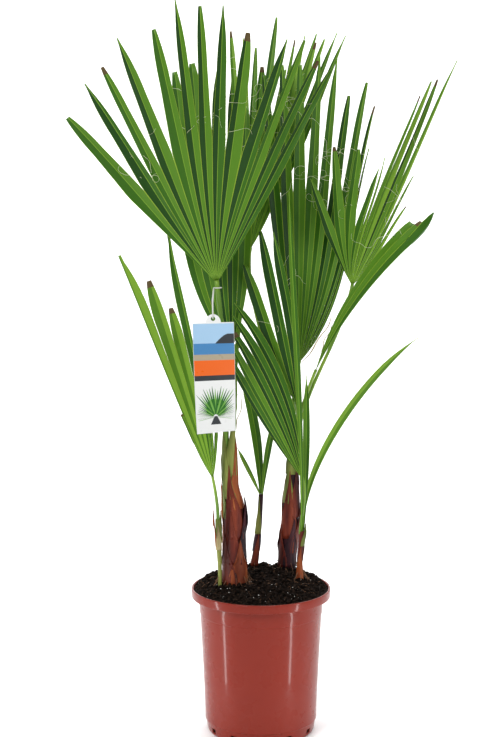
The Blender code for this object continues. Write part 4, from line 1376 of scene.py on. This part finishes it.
filament_draw = random.Random(FILAMENT_SEED)
threads = bmesh.new()
for fan in FANS:
    for fold in list(range(1, len(fan.leaflets))) * FILAMENTS_PER_FOLD:
        if fan.name.startswith("seedling") or filament_draw.random() > FILAMENT_CHANCE:
            continue
        place = fold_point(fan, fold, split_distance(fan, fold)) + FILAMENT_LIFT
        heading = filament_draw.uniform(*FILAMENT_HEADINGS)
        bend = filament_draw.uniform(-FILAMENT_BEND, FILAMENT_BEND)
        place += Vector((0.0, 0.0, filament_draw.uniform(0.0, FILAMENT_SPREAD)))
        route = [place]
        for _ in range(filament_draw.randint(*FILAMENT_STEPS)):
            bend += filament_draw.uniform(-FILAMENT_SWERVE, FILAMENT_SWERVE)
            bend *= FILAMENT_EASE
            heading += bend
            turn = math.radians(heading)
            place = place + Vector((FILAMENT_STEP * math.cos(turn),
                                    filament_draw.uniform(-0.0008, 0.0004),
                                    FILAMENT_STEP * math.sin(turn)))
            route.append(place)
        add_fibre(threads, route, FILAMENT_RADIUS)
thread_pale, thread_tree, thread_shader = finish_nodes("filament", (0.62, 0.66, 0.40), 0.6)
spread_gloss(thread_tree, thread_shader, 90.0, 0.5, 0.7)
add_piece("filaments", finish_mesh("filaments", threads), [thread_pale], [])


# The tag: a printed plastic card that hangs from an elastic loop, twisted a little.
# The card is one thin closed sheet with a round tab and a hole. Its print is thin raised
# panels: a hill against the sky, water and sand, an orange band, and a fan leaf on white.

TAG_WIDTH = 0.0595
TAG_HEIGHT = 0.160
TAG_THICKNESS = 0.0010
TAG_TAB_WIDTH = 0.022
TAG_TAB_HEIGHT = 0.012
TAG_HOLE_RADIUS = 0.0032
TAG_HOLE_DROP = -TAG_TAB_HEIGHT * 0.45
TAG_ROWS = 24
TAG_ROUND_STEPS = 24
PANEL_COLUMNS = 6
PRINT_RAISE = 0.00006
PRINT_EDGE = 0.0004
TAG_TOP_CENTRE = Vector((-0.0697, -0.0640, 0.6270))
TAG_TWIST = 24.0
TAG_ROLL = -1.5


def tag_point(across, down):
    """Point on the card's middle sheet: across from its middle, down from its top edge."""
    twist = math.radians(TAG_TWIST) * max(0.0, down / TAG_HEIGHT) ** 1.5
    roll = math.radians(TAG_ROLL)
    x = across * math.cos(twist)
    y = across * math.sin(twist)
    return TAG_TOP_CENTRE + Vector((x * math.cos(roll) - down * math.sin(roll), y,
                                    -down * math.cos(roll) - x * math.sin(roll)))


def card_finish(name, colour):
    """Glossy card, white or printed in one ink."""
    material, tree, shader = finish_nodes(name, colour, 0.3)
    spread_gloss(tree, shader, 60.0, 0.24, 0.34)
    return material


CARD_FINISHES = [
    card_finish("card_white", (0.80, 0.81, 0.80)),
    card_finish("ink_sky", (0.36, 0.56, 0.76)),
    card_finish("ink_sea", (0.06, 0.22, 0.46)),
    card_finish("ink_orange", (0.80, 0.13, 0.01)),
    card_finish("ink_dark", (0.03, 0.035, 0.04)),
    card_finish("ink_leaf", (0.02, 0.14, 0.01)),
    card_finish("ink_pale_leaf", (0.16, 0.40, 0.06)),
    card_finish("ink_sand", (0.40, 0.34, 0.24)),
]
WHITE, SKY, SEA, ORANGE_INK, DARK, LEAF, PALE_LEAF, SAND = range(8)


def sheet_point(across, down, depth):
    """Point on the card at a depth behind its front face."""
    place = tag_point(across, down)
    right = (tag_point(across + 0.001, down) - place).normalized()
    below = (tag_point(across, down + 0.001) - place).normalized()
    front = right.cross(below)
    if front.y > 0.0:
        front = -front
    return place + front * (TAG_THICKNESS / 2.0 - depth)


def add_card(shape, outline_rows, raise_by, colour):
    """A thin panel of the card: rows of (down, left, right), raised above the card's front."""
    rings = []
    for down, left, right in outline_rows:
        columns = [left + (right - left) * n / PANEL_COLUMNS for n in range(PANEL_COLUMNS + 1)]
        front = [shape.verts.new(sheet_point(x, down, -raise_by)) for x in columns]
        rear = [shape.verts.new(sheet_point(x, down, TAG_THICKNESS * 0.45)) for x in columns[::-1]]
        rings.append(front + rear)
    for upper, lower in zip(rings, rings[1:]):
        count = len(upper)
        for n in range(count):
            face = shape.faces.new((upper[n], lower[n], lower[(n + 1) % count], upper[(n + 1) % count]))
            face.material_index = colour
    shape.faces.new(rings[0]).material_index = colour
    shape.faces.new(rings[-1][::-1]).material_index = colour


def make_card():
    """The card with its round tab and the hole in it: two sheets joined round both edges."""
    half = TAG_WIDTH / 2.0
    half_tab = TAG_TAB_WIDTH / 2.0
    columns = (-half, -half * 0.6, -half_tab, 0.0, half_tab, half * 0.6, half)
    hole_steps = 2 * TAG_ROUND_STEPS
    shape = bmesh.new()
    faces_of = []
    for depth in (0.0, TAG_THICKNESS):
        rows = []
        for n in range(TAG_ROWS + 1):
            down = TAG_HEIGHT * n / TAG_ROWS
            rows.append([shape.verts.new(sheet_point(x, down, depth)) for x in columns])
        rim = [rows[0][2]]
        for n in range(1, TAG_ROUND_STEPS):
            turn = math.pi * (1.0 - n / TAG_ROUND_STEPS)
            rim.append(shape.verts.new(sheet_point(half_tab * math.cos(turn),
                                                   -TAG_TAB_HEIGHT * math.sin(turn), depth)))
        rim.append(rows[0][4])
        hole = []
        for n in range(hole_steps):
            turn = math.pi - math.tau * n / hole_steps
            hole.append(shape.verts.new(sheet_point(
                TAG_HOLE_RADIUS * math.cos(turn),
                TAG_HOLE_DROP - TAG_HOLE_RADIUS * math.sin(turn), depth)))
        for upper, lower in zip(rows, rows[1:]):
            for n in range(len(columns) - 1):
                shape.faces.new((upper[n], lower[n], lower[n + 1], upper[n + 1]))
        for n in range(TAG_ROUND_STEPS):
            shape.faces.new((rim[n], rim[n + 1], hole[n + 1], hole[n]))
        under_hole = [hole[hole_steps - n] for n in range(1, TAG_ROUND_STEPS + 1)]
        shape.faces.new([rim[-1], rows[0][3], rim[0], hole[0]] + under_hole)
        edge = rim + rows[0][5:] + [row[-1] for row in rows[1:]] + rows[-1][::-1][1:]
        edge += [row[0] for row in rows[::-1][1:]] + [rows[0][1]]
        faces_of.append((edge, hole))
    (edge, hole), (edge_back, hole_back) = faces_of
    for ring, ring_back in ((edge, edge_back), (hole, hole_back)):
        for n in range(len(ring)):
            m = (n + 1) % len(ring)
            shape.faces.new((ring[n], ring[m], ring_back[m], ring_back[n]))
    bmesh.ops.recalc_face_normals(shape, faces=shape.faces)
    return finish_mesh("plant_tag", shape)


add_piece("plant_tag", make_card(), [CARD_FINISHES[WHITE]], ["care_tag"], False)

# Each printed band across the card: its top and bottom, the rows it is made in and its ink
BANDS = (
    (0.0015, 0.030, 8, SKY),
    (0.030, 0.046, 5, SEA),
    (0.046, 0.0545, 3, SAND),
    (0.0545, 0.0765, 6, ORANGE_INK),
    (0.0765, 0.084, 3, DARK),
)
HILL_STEPS = 8
HILL_FOOT = 0.0305
HILL_HEIGHT = 0.014
LEAF_BLADES = 37
LEAF_FIRST_LEAN = -100.0
LEAF_HUB = 0.137
LEAF_HUB_GAP = 0.004
LEAF_TOP = 0.086
BLADE_STEPS = 6
BLADE_HALF_WIDTH = 0.0013
LEAF_SEED = 23

half_print = TAG_WIDTH / 2.0 - PRINT_EDGE
prints = bmesh.new()
for top, bottom, count, colour in BANDS:
    rows = [(top + (bottom - top) * n / count, -half_print, half_print) for n in range(count + 1)]
    add_card(prints, rows, PRINT_RAISE, colour)
hill = []
for n in range(HILL_STEPS + 1):
    share = n / HILL_STEPS
    hill.append((HILL_FOOT - HILL_HEIGHT * (1.0 - share), 0.020 - 0.018 * share**0.7, half_print))
add_card(prints, hill, PRINT_RAISE * 2.0, DARK)
trunk = [(0.136 + 0.006 * n, -0.0020 - 0.0030 * n, 0.0020 + 0.0030 * n) for n in range(3)]
add_card(prints, trunk, PRINT_RAISE, DARK)
print_draw = random.Random(LEAF_SEED)
for n in range(LEAF_BLADES):
    turn = math.radians(LEAF_FIRST_LEAN * (1.0 - 2.0 * n / (LEAF_BLADES - 1)))
    far = print_draw.uniform(0.024, 0.034) if abs(turn) > 0.7 else print_draw.uniform(0.036, 0.046)
    blade = []
    for step in range(BLADE_STEPS + 1):
        share = step / BLADE_STEPS
        wide = BLADE_HALF_WIDTH * math.sin(math.pi * min(1.0, 0.15 + share * 0.85)) + 0.0001
        across = (LEAF_HUB_GAP + far * share) * math.sin(turn)
        down = LEAF_HUB - (LEAF_HUB_GAP + far * share) * math.cos(turn) * 0.95
        if abs(across) + wide > half_print or down < LEAF_TOP:
            break
        blade.append((down, across - wide, across + wide))
    if len(blade) > 2:
        add_card(prints, blade[::-1], PRINT_RAISE * (2.0 + n % 2), LEAF if n % 3 else PALE_LEAF)
bmesh.ops.recalc_face_normals(prints, faces=prints.faces)
add_piece("tag_print", finish_mesh("tag_print", prints), CARD_FINISHES, [], False)


# The elastic: one thin closed white loop that ties the tag to the left palm's front fan.
# It passes through the tag's hole, and its two strands rise to a ring round the top of the
# fan's stalk.

LOOP_RADIUS = 0.0007
LOOP_RING = 0.0060
LOOP_DROP = 0.0070
LOOP_SIDES = 10
LOOP_TURN_STEPS = 8
LOOP_FIRST_TURN = 195.0

hole = tag_point(0.0, TAG_HOLE_DROP)
stalk = Vector(FANS[0].hub) - fan_axis(FANS[0]) * LOOP_DROP
loop_points = [hole, hole + Vector((-0.0004, -0.0028, 0.0026)),
               hole + Vector((-0.0012, 0.0040, 0.0270))]
for n in range(LOOP_TURN_STEPS):
    angle = math.radians(LOOP_FIRST_TURN) + math.tau * n / LOOP_TURN_STEPS
    loop_points.append(stalk + Vector((LOOP_RING * math.cos(angle),
                                       LOOP_RING * math.sin(angle), 0.0)))
loop_points += [hole + Vector((-0.0004, 0.0120, 0.0230)), hole + Vector((0.0, 0.0028, 0.0030))]
elastic, elastic_tree, elastic_shader = finish_nodes("elastic_white", (0.72, 0.72, 0.68), 0.7)
elastic_weave = place_group(elastic_tree, GRAIN, Scale=900.0, Detail=2.0, Stretch=NO_STRETCH)
add_bump(elastic_tree, elastic_shader, elastic_weave, 0.4, 0.0003)
loop_radii = [LOOP_RADIUS] * len(loop_points)
add_piece("elastic_loop", tube_mesh("elastic_loop", loop_points, loop_radii, LOOP_SIDES, True),
          [elastic], ["tag_loop"])
